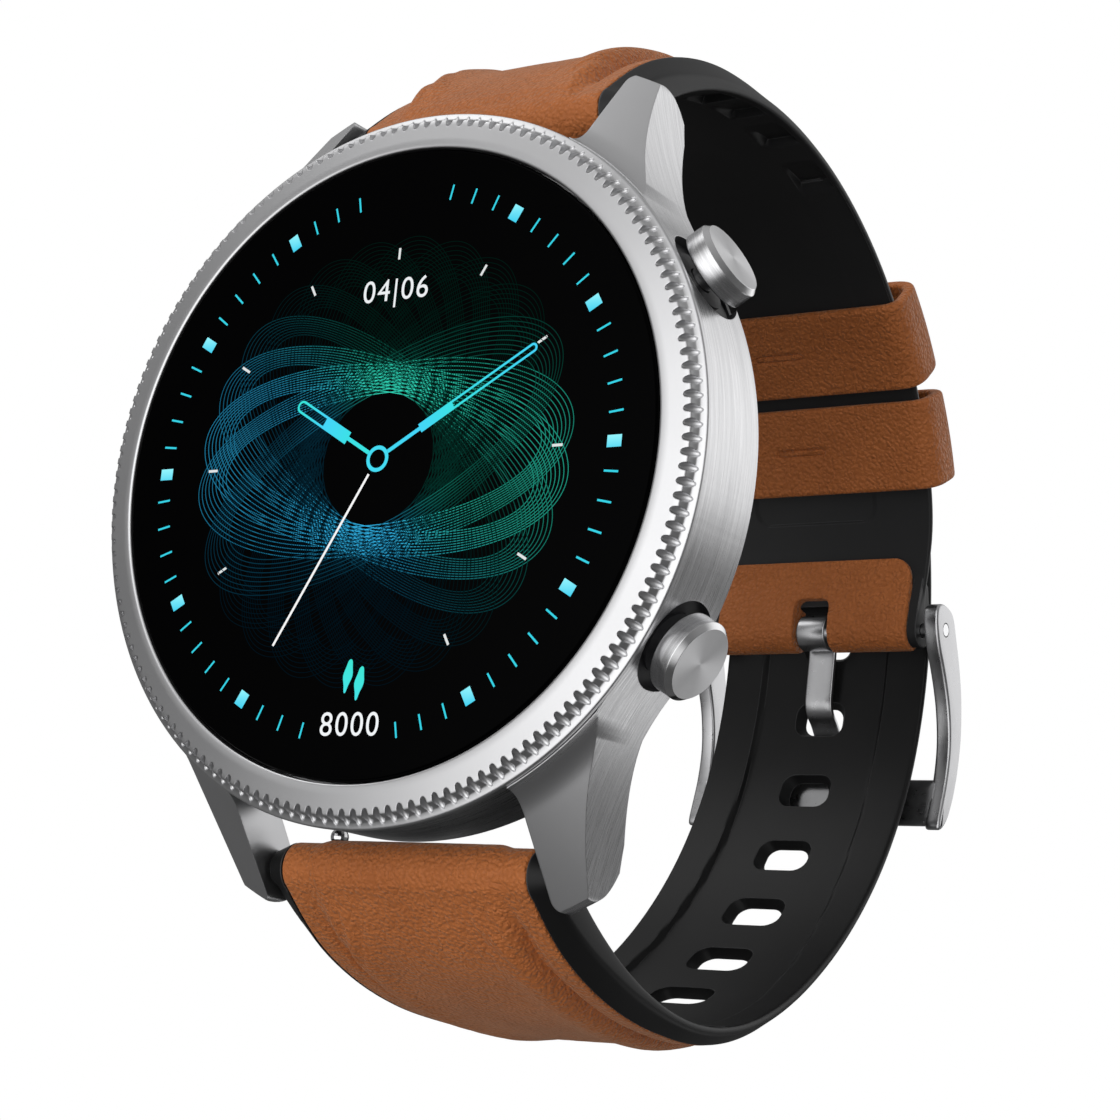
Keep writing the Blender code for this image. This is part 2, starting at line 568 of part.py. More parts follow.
def add_cheeks(base):
    """Side lips of the underlay that carry the buckle bar, either side of the leather's fold."""
    bar = polar(BUCKLE_STATION, BUCKLE_BAR_ORBIT)
    round_end = [bar + Vector((0, math.cos(a), math.sin(a))) * 1.3 * MM
                 for a in [math.radians(60 - 24 * step) for step in range(13)]]
    outline = round_end[::-1] + [polar(8.0, 32.3 * MM), polar(9.5, 31.45 * MM), polar(5.0, 30.5 * MM)][::1]
    order = sorted(outline, key=lambda point: math.atan2(point.z - 2.6 * MM, point.y - bar.y))
    across = Vector((1, 0, 0))
    for end in (1, -1):
        cheek = prism("cheek", order, across * end * CHEEK_INNER_X, across * end * CHEEK_OUTER_X, None)
        combine(base, cheek, "UNION")
    bore = rod("bore", bar - across * 12 * MM, bar + across * 12 * MM, 0.57 * MM, None, 20)
    combine(base, bore, "DIFFERENCE")


def build_upper_strap():
    stations = stations_between(LUG_STATION, 60.0) + stations_between(60.0, 5.6, 5.0)[1:]
    rings = [base_ring(s, 1, INNER_RADIUS_UPPER, RIM_HEIGHT_UPPER, BED_DEPTH) for s in stations]
    base = loft("upper_strap_base", rings, RUBBER)
    add_barrel(base, 1)
    add_cheeks(base)
    wrap = [barrel_leather_ring(angle, 1) for angle in stations_between(277.0, LUG_STATION + 10, 14.0)]
    covered = stations_between(LUG_STATION - 0.6, 60.0) + stations_between(60.0, 6.2, 5.0)[1:]
    rings = [leather_ring(s, 1, INNER_RADIUS_UPPER, RIM_HEIGHT_UPPER) for s in covered]
    leather = loft("upper_strap_leather", wrap + rings, LEATHER)
    return [base, leather]


def rounded_rectangle(width, height, corner, steps=4):
    """Outline points of a rounded rectangle in the XY plane."""
    points = []
    for number, (sx, sy) in enumerate(((1, 1), (-1, 1), (-1, -1), (1, -1))):
        centre = Vector((sx * (width / 2 - corner), sy * (height / 2 - corner), 0))
        for step in range(steps + 1):
            angle = math.pi / 2 * (number + step / steps)
            points.append(centre + Vector((math.cos(angle), math.sin(angle), 0)) * corner)
    return points


def cut_hole(base, station):
    """Adjustment hole through the tail, square to it."""
    outline = rounded_rectangle(HOLE_WIDTH, HOLE_HEIGHT, 1.2 * MM)
    cutter = prism("hole", outline, (0, 0, 31 * MM), (0, 0, 36 * MM), None)
    cutter.data.transform(Matrix.Translation(LOOP_CENTRE)
                          @ Matrix.Rotation(-math.radians(90 + station), 4, "X"))
    combine(base, cutter, "DIFFERENCE")


def lower_bed_depth(station):
    """The leather's bed ends in a shallow panel where the bare tail begins."""
    t = min(max((station - (LEATHER_TIP_STATION - 2.5)) / 2.0, 0.0), 1.0)
    return 0.1 + (BED_DEPTH - 0.1) * t


def tip_shrink(station):
    """Width factor that rounds the tail's tip off."""
    reach = min(max((station - TAIL_TIP_STATION + 0.4) / 9.0, 0.0), 1.0)
    return math.sqrt(max(1 - (1 - reach) ** 2, 0.0))


def build_lower_strap():
    stations = (stations_between(LUG_STATION, LEATHER_TIP_STATION)
                + [LEATHER_TIP_STATION - 1.0, LEATHER_TIP_STATION - 2.0, LEATHER_TIP_STATION - 3.0]
                + stations_between(66.0, TAIL_TIP_STATION + 9.0, 5.0)
                + stations_between(TAIL_TIP_STATION + 7.0, TAIL_TIP_STATION, 1.8))
    rings = [base_ring(s, -1, INNER_RADIUS_LOWER, RIM_HEIGHT_LOWER, lower_bed_depth(s), tip_shrink(s))
             for s in stations]
    base = loft("lower_strap_base", rings, RUBBER)
    add_barrel(base, -1)
    for station in HOLE_STATIONS:
        cut_hole(base, station)
    wrap = [barrel_leather_ring(angle, -1) for angle in stations_between(277.0, LUG_STATION + 10, 14.0)]
    covered = stations_between(LUG_STATION - 0.6, LEATHER_TIP_STATION + 1.0)
    rings = [leather_ring(s, -1, INNER_RADIUS_LOWER, RIM_HEIGHT_LOWER) for s in covered]
    leather = loft("lower_strap_leather", wrap + rings, LEATHER)
    return [base, leather]


def build_spring_bar(name, side):
    """Tube and fixed pin ride with the strap; the knobbed pin slides in the tube on its spring."""
    centre = pivot_point(side)
    across = Vector((1, 0, 0))
    tube = rod("%s_bar_tube" % name, centre - across * 9.9 * MM, centre + across * 9.9 * MM,
               BAR_TUBE_RADIUS, POLISHED, 20)
    bore = rod("bore", centre - across * 11 * MM, centre + across * 11 * MM, BAR_BORE_RADIUS, None, 20)
    combine(tube, bore, "DIFFERENCE")
    slot = box("slot", (KNOB_X - 0.45 * MM, 0, -0.4 * MM), (KNOB_X + RELEASE_TRAVEL + 0.45 * MM, 2 * MM, 0.4 * MM),
               None)
    slot.data.transform(Matrix.Translation(centre) @ Matrix.Rotation(side * math.radians(KNOB_ANGLE), 4, "X"))
    combine(tube, slot, "DIFFERENCE")
    fixed = rod("%s_bar_fixed_pin" % name, centre + across * 5.0 * MM, centre + across * PIN_REACH,
                PIN_RADIUS, POLISHED, 16)
    release = rod("%s_release_pin" % name, centre - across * PIN_REACH, centre - across * 4.5 * MM,
                  PIN_RADIUS, POLISHED, 16)
    knob_foot = centre + across * KNOB_X
    knob_top = around_pivot(KNOB_ANGLE, KNOB_REACH, side, KNOB_X)
    neck = rod("neck", knob_foot, knob_top, 0.28 * MM, None, 12)
    combine(release, neck, "UNION")
    ball = bmesh.new()
    bmesh.ops.create_uvsphere(ball, u_segments=16, v_segments=10, radius=0.6 * MM)
    ball.transform(Matrix.Translation(knob_top))
    combine(release, mesh_object("ball", ball, None), "UNION")
    spring = coil("%s_bar_spring" % name, centre - across * 4.4 * MM, 9.3 * MM)
    return [tube, fixed], [release, spring]


def coil(name, start, length):
    """Compression spring along X inside the spring bar's tube."""
    turns, per_turn, radius, wire = 7, 8, 0.32 * MM, 0.07 * MM
    curve = bpy.data.curves.new(name, "CURVE")
    curve.dimensions = "3D"
    curve.bevel_depth = wire
    curve.bevel_resolution = 1
    curve.use_fill_caps = True
    spline = curve.splines.new("POLY")
    count = turns * per_turn
    spline.points.add(count)
    for index in range(count + 1):
        angle = math.tau * index / per_turn
        along = wire + (length - 2 * wire) * index / count
        point = start + Vector((along, radius * math.cos(angle), radius * math.sin(angle)))
        spline.points[index].co = (*point, 1.0)
    guide = bpy.data.objects.new(name + "_path", curve)
    WATCH.objects.link(guide)
    bpy.context.view_layer.update()
    mesh = bpy.data.meshes.new_from_object(guide.evaluated_get(bpy.context.evaluated_depsgraph_get()))
    bpy.data.objects.remove(guide, do_unlink=True)
    bm = bmesh.new()
    bm.from_mesh(mesh)
    bmesh.ops.remove_doubles(bm, verts=bm.verts, dist=WELD)
    return mesh_object(name, bm, STEEL)


# --- keepers and buckle ---------------------------------------------------------------------

KEEPER_INNER = 30.3 * MM
KEEPER_OUTER = 35.35 * MM
KEEPER_WALL = 0.88 * MM
KEEPER_HALF_WIDTH = 11.4 * MM
KEEPER_HOLLOW_HALF = 10.65 * MM


def keeper_ring(middle, offset, inner, outer, half, corner):
    """Section of a keeper; its band keeps one width, so the offset's angle shrinks further out."""
    outline = rounded_rectangle(2 * half, outer - inner, corner, 4)
    points = []
    for point in outline:
        radius = (inner + outer) / 2 + point.y
        points.append(polar(middle + offset * (KEEPER_INNER + KEEPER_WALL / 2) / radius, radius, 1, point.x))
    return points


def keeper(name, start, end):
    """Leather loop round both strap layers, between two stations of its inner wall."""
    middle, reach = (start + end) / 2, (end - start) / 2
    shell = loft(name, [keeper_ring(middle, offset, KEEPER_INNER, KEEPER_OUTER, KEEPER_HALF_WIDTH, 1.7 * MM)
                        for offset in stations_between(-reach, reach, 2.6)], LEATHER)
    hollow = loft("hollow", [keeper_ring(middle, offset, KEEPER_INNER + KEEPER_WALL,
                                         KEEPER_OUTER - KEEPER_WALL, KEEPER_HOLLOW_HALF, 0.5 * MM)
                             for offset in stations_between(-reach - 2, reach + 2, 2.6)], None)
    combine(shell, hollow, "DIFFERENCE")
    return shell


def build_buckle_end():
    """Leather turned round the buckle bar, notched for the tongue and waisted between the cheeks."""
    bar = polar(BUCKLE_STATION, BUCKLE_BAR_ORBIT)
    across = Vector((1, 0, 0))
    seat = law(INNER_RADIUS_UPPER, 8.0) - SKIN_GAP
    inner_skin = [(12.2, 30.85), (9.0, 30.6), (6.0, 30.2), (3.6, 29.95)]
    fold = [bar + Vector((0, math.cos(a) * (1.38 * MM if math.cos(a) > 0 else 1.58 * MM),
                          math.sin(a) * 1.58 * MM))
            for a in [math.radians(60 - 15 * step) for step in range(17)]]
    skin = [polar(s, r * MM) for s, r in reversed(inner_skin)]
    back = [polar(12.2, seat), polar(8.0, seat), polar(5.3, seat), polar(5.0, 32.4 * MM)]
    outline = fold + skin + back
    half = TAIL_HALF_WIDTH - 0.25 * MM
    end = prism("buckle_end_leather", outline, -across * half, across * half, LEATHER)
    for middle in (9.38 * MM, -9.38 * MM):
        waist = box("waist", (middle - 1 * MM, 50 * MM, -3 * MM), (middle + 1 * MM, 62 * MM, 5.6 * MM), None)
        combine(end, waist, "DIFFERENCE")
    notch = box("notch", (-1.32 * MM, 55 * MM, -4 * MM), (1.32 * MM, 62 * MM, 3.45 * MM), None)
    combine(end, notch, "DIFFERENCE")
    bore = rod("bore", bar - across * 12 * MM, bar + across * 12 * MM, 0.57 * MM, None, 20)
    combine(end, bore, "DIFFERENCE")
    return end


def arm_outline():
    """Side view of a buckle arm, from the eye on the bar out to the end plate."""
    outer = [(5.3, 31.1), (4.7, 32.3), (3.6, 33.0), (0.7, 33.7), (-2.0, 34.4), (-5.3, 35.2), (-8.0, 35.7),
             (-11.2, 36.2), (-14.7, 36.5), (-18.2, 36.65), (-21.3, 36.55), (-23.1, 36.2), (-24.0, 35.7)]
    inner = [(-23.4, 35.3), (-21.0, 35.1), (-18.0, 34.95), (-14.8, 34.65), (-12.1, 34.2), (-9.1, 33.45),
             (-6.5, 32.6), (-3.9, 31.65), (-1.2, 30.65), (1.4, 30.05), (3.4, 29.9), (4.8, 30.2)]
    return [polar(s, r * MM) for s, r in outer + inner]


def build_buckle():
    outline = arm_outline()
    across = Vector((1, 0, 0))
    frame = prism("buckle_frame", outline, across * ARM_INNER_X, across * ARM_OUTER_X, POLISHED)
    left = prism("left_arm", outline, -across * ARM_OUTER_X, -across * ARM_INNER_X, None)
    section = [(-17.8, 35.0), (-17.8, 36.3), (-20.6, 36.4), (-23.0, 36.0), (-23.4, 35.4), (-20.6, 35.1)]
    plate = loft("plate", [[polar(s, r * MM, 1, x) for s, r in section]
                           for x in (-ARM_INNER_X - 0.5 * MM, ARM_INNER_X + 0.5 * MM)], None)
    combine(plate, left, "UNION")
    combine(frame, plate, "UNION")
    bar = polar(BUCKLE_STATION, BUCKLE_BAR_ORBIT)
    eyes = rod("eyes", bar - across * 13 * MM, bar + across * 13 * MM, 0.56 * MM, None, 20)
    combine(frame, eyes, "DIFFERENCE")
    seat = box("seat", (-1.35 * MM, -2 * MM, 0), (1.35 * MM, 2 * MM, 3 * MM), None)
    seat.data.transform(Matrix.Translation(polar(-20.8, 35.85 * MM))
                        @ Matrix.Rotation(math.radians(-90 - 20.8), 4, "X"))
    combine(frame, seat, "DIFFERENCE")
    pin = rod("buckle_bar", bar - across * ARM_OUTER_X, bar + across * ARM_OUTER_X,
              BUCKLE_BAR_RADIUS, POLISHED, 20)
    return frame, pin


def tongue_centreline():
    """Side view of the tongue from its loop, inside the tail, out through a hole to the plate."""
    return [polar(s, r * MM) for s, r in ((2.0, 32.58), (0.0, 32.6), (-2.0, 32.62), (-6.0, 32.68),
                                          (-8.1, 32.85), (-9.4, 33.4), (-10.3, 34.3), (-11.8, 35.3),
                                          (-14.5, 36.0), (-18.0, 36.25), (-22.3, 36.15))]


def build_tongue():
    bar = polar(BUCKLE_STATION, BUCKLE_BAR_ORBIT)
    across = Vector((1, 0, 0))
    half, thick = 1.17 * MM, 0.42 * MM
    line = tongue_centreline()
    rings = []
    for index, point in enumerate(line):
        ahead = line[min(index + 1, len(line) - 1)]
        behind = line[max(index - 1, 0)]
        normal = (ahead - behind).cross(across).normalized() * thick / 2
        rings.append([point - across * half - normal, point + across * half - normal,
                      point + across * half + normal, point - across * half + normal])
    tongue = loft("buckle_tongue", rings, POLISHED)
    loop = rod("loop", bar - across * half * 1.01, bar + across * half * 1.01, 1.28 * MM, None, 24)
    combine(tongue, loop, "UNION")
    eye = rod("eye", bar - across * 3 * MM, bar + across * 3 * MM, 0.57 * MM, None, 20)
    combine(tongue, eye, "DIFFERENCE")
    return tongue


# --- bodies ---------------------------------------------------------------------------------

def body(name, point, pieces, parent=None):
    """Empty on a moving body's axis, with the body's pieces parented to it."""
    holder = bpy.data.objects.new(name, None)
    WATCH.objects.link(holder)
    point = Vector(point)
    holder.parent = parent
    holder.location = point - (Vector(parent["at"]) if parent else Vector())
    holder["at"] = point
    for piece in pieces:
        piece.data.transform(Matrix.Translation(-point))
        piece.parent = holder
    return holder


def main():
    build_case()
    build_bezel()
    build_front()
    build_chassis()
    build_back()
    body("rotor_axis", MOTOR_AXIS, build_motor())
    for name, angle in BUTTON_ANGLES.items():
        body("%s_button_axis" % name, radial(angle, BUTTON_FACE, BUTTON_DEPTH), build_button(name))
    upper_bar, upper_release = build_spring_bar("upper", 1)
    lower_bar, lower_release = build_spring_bar("lower", -1)
    frame, pin = build_buckle()
    upper = body("upper_strap_axis", pivot_point(1), build_upper_strap() + upper_bar
                 + [build_buckle_end(), keeper("fixed_keeper", 22.1, 35.2)])
    body("upper_release_axis", pivot_point(1), upper_release, upper)
    body("sliding_keeper_axis", LOOP_CENTRE, [keeper("sliding_keeper", 37.2, 50.4)], upper)
    buckle_point = polar(BUCKLE_STATION, BUCKLE_BAR_ORBIT)
    buckle = body("buckle_axis", buckle_point, [frame, pin], upper)
    body("tongue_axis", buckle_point, [build_tongue()], buckle)
    lower = body("lower_strap_axis", pivot_point(-1), build_lower_strap() + lower_bar)
    body("lower_release_axis", pivot_point(-1), lower_release, lower)


main()
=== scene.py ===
"""Looks of the round smartwatch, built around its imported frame.

The dial faces -Y, 12 o'clock is +Z, 3 o'clock is +X, and the origin is the centre of the cover
glass's front face, in metres. The strap is laid out in polar stations about LOOP_CENTRE, in the
YZ plane: 0 degrees is straight behind the watch and 90 degrees is straight above it on the upper
half (side 1) or straight below it on the lower half (side -1).
"""
import json
import math

import bmesh
import bpy
from mathutils import Matrix, Vector, noise


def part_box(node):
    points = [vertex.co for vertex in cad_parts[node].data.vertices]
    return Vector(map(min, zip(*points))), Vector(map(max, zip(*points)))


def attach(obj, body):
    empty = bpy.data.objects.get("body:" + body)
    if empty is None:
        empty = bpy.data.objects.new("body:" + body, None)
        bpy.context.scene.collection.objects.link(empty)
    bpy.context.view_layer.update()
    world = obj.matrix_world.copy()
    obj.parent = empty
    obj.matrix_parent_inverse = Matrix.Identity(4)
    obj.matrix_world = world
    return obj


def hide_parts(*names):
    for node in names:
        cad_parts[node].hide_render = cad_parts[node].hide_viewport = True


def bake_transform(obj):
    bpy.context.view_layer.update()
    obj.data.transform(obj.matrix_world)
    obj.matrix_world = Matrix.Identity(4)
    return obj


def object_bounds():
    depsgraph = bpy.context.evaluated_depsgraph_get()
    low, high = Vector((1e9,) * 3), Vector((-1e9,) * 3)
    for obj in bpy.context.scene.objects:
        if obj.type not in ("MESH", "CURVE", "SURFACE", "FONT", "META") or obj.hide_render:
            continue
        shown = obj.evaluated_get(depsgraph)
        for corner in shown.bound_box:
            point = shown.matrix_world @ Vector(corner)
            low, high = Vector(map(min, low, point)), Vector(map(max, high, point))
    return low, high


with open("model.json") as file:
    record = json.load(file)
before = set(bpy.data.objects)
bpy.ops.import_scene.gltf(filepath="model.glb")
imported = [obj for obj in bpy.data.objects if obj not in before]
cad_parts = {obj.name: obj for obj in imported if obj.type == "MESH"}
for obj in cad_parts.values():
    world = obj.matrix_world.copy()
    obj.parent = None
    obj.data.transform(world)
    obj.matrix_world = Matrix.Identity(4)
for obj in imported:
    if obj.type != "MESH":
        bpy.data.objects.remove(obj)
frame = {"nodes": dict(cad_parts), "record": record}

CAD_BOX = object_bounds()
MM = 0.001
ACROSS = Vector((1, 0, 0))

# Distances taken as none: welding points, telling faces apart, closing a turned form on its axis
WELD = 0.001 * MM
TINY = 0.001 * MM
AXIS_RADIUS = 0.00001 * MM

# Edges turn sharp above these angles, in degrees
SHARP_ANGLE = 38.0
CAD_SHARP_ANGLE = 35.0

# Watch head, radii from the dial axis
BEZEL_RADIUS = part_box("bezel_ring")[1].x
CASE_RADIUS = 22.75 * MM
CASE_FRONT = 1.5 * MM
CASE_BACK = 7.3 * MM
CAVITY_RADIUS = 19.95 * MM
LUG_GAP = 22.0 * MM
LUG_START_ANGLE = 38.0
LUG_TIP_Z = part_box("case_body")[1].z
SLOT_COUNT = 160
SLOT_HALF_WIDTH = 0.27 * MM
SLOT_HALF_LENGTH = 0.62 * MM
SLOT_DEPTH = 0.24 * MM

# Buttons, by clock angle from 12
BUTTON_ANGLES = {"upper": 60.0, "lower": 120.0}
BUTTON_DEPTH = 4.8 * MM
BUTTON_RADIUS = 2.58 * MM
BUTTON_BACK = 23.15 * MM
BUTTON_FACE = 24.75 * MM
POCKET_MOUTH = 22.68 * MM
POCKET_FLOOR = 22.0 * MM
POCKET_RADIUS = 3.0 * MM
STEM_BORE_START = 18.0 * MM
STEM_BORE_RADIUS = 1.65 * MM
POCKET_CUT_END = 26.0 * MM

# Spring bar sockets in the lugs
SOCKET_REACH = 12.3 * MM
SOCKET_RADIUS = 0.5 * MM

# Dial art, in millimetres from the dial's centre
TICK_SPAN = (16.85, 17.85)
BLOCK_SPAN = (16.8, 17.8)
BLOCK_HALF = 0.37
HOUR_TICK_SPAN = (12.95, 13.7)
HOUR_HAND_ANGLE = 300.5
MINUTE_HAND_ANGLE = 60.4
SECOND_HAND_ANGLE = 209.7
ROSETTE_FANS = 12
ROSETTE_LEAVES = 9
ROSETTE_STEPS = 144

# Strap loop
LOOP_CENTRE = Vector((0, 27.0 * MM, 0))
LUG_STATION = 127.4
BARREL_RADIUS = 1.22 * MM
STRAP_HALF_WIDTH = 10.8 * MM
RIM_WIDTH = 1.3 * MM
SKIN_GAP = 0.06 * MM
BED_DEPTH = 0.5
LEATHER_TIP_STATION = 73.0
TAIL_TIP_STATION = -57.0
KNOB_X = -7.3 * MM
KNOB_ANGLE = -60.0
RELEASE_TRAVEL = 1.3 * MM
ARM_INNER_X = 9.95 * MM
ARM_OUTER_X = 11.2 * MM
ARM_EDGE = 0.24 * MM
CHEEK_INNER_X = 8.45 * MM
CHEEK_OUTER_X = 9.2 * MM
FOLD_TOP_Z = 6.55 * MM
HOLE_STATIONS = [-22.1 + 10.7 * index for index in range(9)]
SLEEVE_BORE_RADIUS = 0.82 * MM
BUCKLE_BORE_RADIUS = 0.57 * MM
THROUGH = 12 * MM

# Scale-shaped pockets of the inner face: stations, run in degrees, depth and band in millimetres
VENT_STATIONS = (98.0, 90.7, 81.7, 71.5)
VENT_RUN = 6.0
VENT_DEPTH = 0.62
VENT_BAND = (7.35, 7.5, 9.95, 10.1)

# Keepers: inner and outer reach from the loop's centre
KEEPER_INNER = 30.3 * MM
KEEPER_OUTER = 35.35 * MM
KEEPER_WALL = 0.88 * MM
KEEPER_HALF_WIDTH = 11.4 * MM

# Shape laws along the strap: station in degrees against millimetres
HALF_WIDTH_UPPER = [(0, 9.1), (5.6, 9.15), (11, 9.6), (16, 10.0), (22, 10.2), (50, 10.45), (80, 10.65),
                    (112, 10.8), (127.4, 10.8)]
HALF_WIDTH_LOWER = [(-64, 9.0), (52, 9.0), (67, 9.28), (82, 9.9), (97, 10.52), (112, 10.8), (127.4, 10.8)]
INNER_RADIUS_UPPER = [(0, 31.4), (60, 31.4), (76, 31.5), (93, 31.5), (111, 30.9), (127.4, 29.7)]
INNER_RADIUS_LOWER = [(-64, 33.0), (16, 33.0), (30, 32.8), (45, 32.5), (62, 32.3), (78, 32.1),
                      (93, 31.7), (111, 30.8), (127.4, 29.7)]
WALL_HEIGHT = [(0, 0.5), (60, 0.55), (93, 0.6), (102, 0.75), (111, 1.15), (119, 1.75), (127.4, 2.25)]
RIM_HEIGHT_UPPER = [(0, 0.95), (66, 1.0), (80, 1.2), (93, 1.75), (102, 2.2), (111, 2.55), (119, 2.8),
                    (127.4, 2.85)]
RIM_HEIGHT_LOWER = [(-64, 1.35), (70, 1.35), (93, 1.35), (102, 1.75), (111, 2.3), (119, 2.75),
                    (127.4, 2.85)]
CROWN_UPPER = [(0, 0.4), (60, 0.45), (93, 0.55), (105, 0.75), (119, 0.95), (127.4, 0.55)]
CROWN_LOWER = [(60, 0.25), (80, 0.25), (93, 0.3), (105, 0.4), (119, 0.5), (127.4, 0.2)]
TAIL_RIM_LINE = [(-64, 5.4), (20, 5.6), (45, 6.2), (75, 7.2), (100, 8.0), (127.4, 8.0)]

# Studio surround: brightness straight down, at the horizon and straight up, then soft patches as
# (azimuth, elevation, outer angle, inner angle, brightness); azimuth 0 is in front of the dial
SURROUND_BELOW = 0.08
SURROUND_LEVEL = 0.13
SURROUND_ABOVE = 0.42
FRONT_PATCH = (7.0, -5.0, 55.0, 13.0, 1.65)
LOW_BACK_PATCH = (157.0, -28.0, 17.0, 4.0, 0.9)
HIGH_LEFT_PATCH = (-60.0, 55.0, 24.0, 6.0, 1.5)
BACK_PATCH = (154.0, 5.0, 52.0, 6.0, 1.05)
BACK_PATCH_EDGE = (-0.08, 0.12)

# Floor: how far below the closed watch it lies, clear of the opened strap, and where it fades out
FLOOR_DROP = 42 * MM
FLOOR_FADE = (40.0, 100.0)

# Camera: azimuth, elevation and roll in degrees, distance from the dial and shift across the view
CAMERA_ANGLES = (34.215, -11.960, 5.326)
CAMERA_DISTANCE = 160.568 * MM
CAMERA_SHIFT = (-11.269 * MM, 6.252 * MM)
CAMERA_LENS = 83.58

# Colours
LEATHER_WARM = (0.46, 0.138, 0.034)
LEATHER_LIGHT = (0.57, 0.180, 0.048)
# Painted shade for the pits between the leather's pebbles
LEATHER_PIT_SHADE = (0.20, 0.050, 0.010)
TEAL = (0.06, 0.78, 0.80)


# --- mesh helpers -------------------------------------------------------------------------

def own(obj, material, body, slot, replaced):
    """Give a finished piece its finish and its body, in place of a CAD node."""
    if slot == "leather":
        obj.visible_glossy = False
    obj.data.materials.clear()
    obj.data.materials.append(material)
    obj.data.shade_smooth()
    obj.data.set_sharp_from_angle(angle=math.radians(SHARP_ANGLE))
    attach(obj, body)
    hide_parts(replaced)


def place(name, data):
    """New object in the scene."""
    obj = bpy.data.objects.new(name, data)
    bpy.context.scene.collection.objects.link(obj)
    return obj


def evaluated_mesh(obj):
    """Mesh that an object's modifiers or its curve make."""
    bpy.context.view_layer.update()
    return bpy.data.meshes.new_from_object(obj.evaluated_get(bpy.context.evaluated_depsgraph_get()))


def from_bmesh(name, bm):
    """Closed mesh object from a bmesh, faces turned outwards."""
    bmesh.ops.remove_doubles(bm, verts=bm.verts, dist=WELD)
    bmesh.ops.recalc_face_normals(bm, faces=bm.faces)
    mesh = bpy.data.meshes.new(name)
    bm.to_mesh(mesh)
    bm.free()
    return place(name, mesh)


def bake(obj):
    """Apply an object's modifiers."""
    mesh = evaluated_mesh(obj)
    bm = bmesh.new()
    bm.from_mesh(mesh)
    bmesh.ops.remove_doubles(bm, verts=bm.verts, dist=WELD)
    bmesh.ops.dissolve_degenerate(bm, edges=bm.edges, dist=WELD)
    bmesh.ops.recalc_face_normals(bm, faces=bm.faces)
    bm.to_mesh(mesh)
    bm.free()
    obj.modifiers.clear()
    obj.data = mesh


def combine(obj, tool, operation, crossing=False):
    """Join, cut or trim one object with another, and put the tool away; crossing allows overlaps."""
    modifier = obj.modifiers.new(operation.lower(), "BOOLEAN")
    modifier.object = tool
    modifier.operation = operation
    modifier.solver = "EXACT"
    modifier.use_self = crossing
    bake(obj)
    bpy.data.objects.remove(tool, do_unlink=True)


def loft(name, rings, closed=False):
    """Skin through rings of equal length, capped at both ends or closed on itself."""
    bm = bmesh.new()
    layers = [[bm.verts.new(point) for point in ring] for ring in rings]
    pairs = list(zip(layers, layers[1:]))
    if closed:
        pairs.append((layers[-1], layers[0]))
    for lower, upper in pairs:
        for index, vert in enumerate(lower):
            following = (index + 1) % len(lower)
            bm.faces.new((vert, lower[following], upper[following], upper[index]))
    if not closed:
        bm.faces.new(layers[0])
        bm.faces.new(layers[-1])
    return from_bmesh(name, bm)


def turned(name, profile, steps):
    """Solid turned about the dial axis from (radius, depth) points."""
    rings = []
    for step in range(steps):
        angle = math.tau * step / steps
        rings.append([(r * math.sin(angle), y, r * math.cos(angle)) for r, y in profile])
    return loft(name, rings, closed=True)


def aim(direction):
    """Rotation that turns the local Z axis along a direction."""
    return Vector(direction).to_track_quat("Z", "Y").to_matrix().to_4x4()


def rod(name, start, end, radius, steps, end_radius=None):
    """Cylinder or cone between two points."""
    start, end = Vector(start), Vector(end)
    span = end - start
    bm = bmesh.new()
    bmesh.ops.create_cone(bm, cap_ends=True, segments=steps, radius1=radius,
                          radius2=radius if end_radius is None else end_radius, depth=span.length)
    bm.transform(Matrix.Translation((start + end) / 2) @ aim(span))
    return from_bmesh(name, bm)


def cross_rod(name, centre, reach, radius, steps):
    """Cylinder across the watch, along X, reaching to both sides of a centre."""
    return rod(name, centre - ACROSS * reach, centre + ACROSS * reach, radius, steps)


def box(name, low, high):
    """Box between two corners."""
    low, high = Vector(low), Vector(high)
    bm = bmesh.new()
    bmesh.ops.create_cube(bm, size=1.0)
    bm.transform(Matrix.Translation((low + high) / 2) @ Matrix.Diagonal((*(high - low), 1.0)))
    return from_bmesh(name, bm)


def prism(name, outline, near, far):
    """Flat outline of points, extruded from the near offset to the far offset."""
    bm = bmesh.new()
    face = bm.faces.new([bm.verts.new(Vector(point) + Vector(near)) for point in outline])
    grown = bmesh.ops.extrude_face_region(bm, geom=[face])
    moved = [item for item in grown["geom"] if isinstance(item, bmesh.types.BMVert)]
    bmesh.ops.translate(bm, verts=moved, vec=Vector(far) - Vector(near))
    return from_bmesh(name, bm)


def smoothstep(low, high, value):
    """Smooth rise from 0 at the low value to 1 at the high one."""
    t = min(max((value - low) / (high - low), 0.0), 1.0)
    return t * t * (3 - 2 * t)


def bezier(points, count):
    """Points along a Bezier curve of any order."""
    order = len(points) - 1
    curve = []
    for step in range(count + 1):
        t = step / count
        weights = [math.comb(order, i) * t ** i * (1 - t) ** (order - i) for i in range(order + 1)]
        curve.append(tuple(sum(w * p[axis] for w, p in zip(weights, points)) for axis in (0, 1)))
    return curve


def law(table, station):
    """Smooth value of a shape law at a station, in metres."""
    for index in range(len(table) - 1):
        if station <= table[index + 1][0] or index == len(table) - 2:
            break
    x0, y0 = table[index]
    x1, y1 = table[index + 1]
    before = table[max(index - 1, 0)]
    after = table[min(index + 2, len(table) - 1)]
    slope0 = (y1 - before[1]) / (x1 - before[0])
    slope1 = (after[1] - y0) / (after[0] - x0)
    span = x1 - x0
    t = min(max((station - x0) / span, 0.0), 1.0)
    value = (y0 * (2 * t ** 3 - 3 * t ** 2 + 1) + slope0 * span * (t ** 3 - 2 * t ** 2 + t)
             + y1 * (3 * t ** 2 - 2 * t ** 3) + slope1 * span * (t ** 3 - t ** 2))
    return value * MM


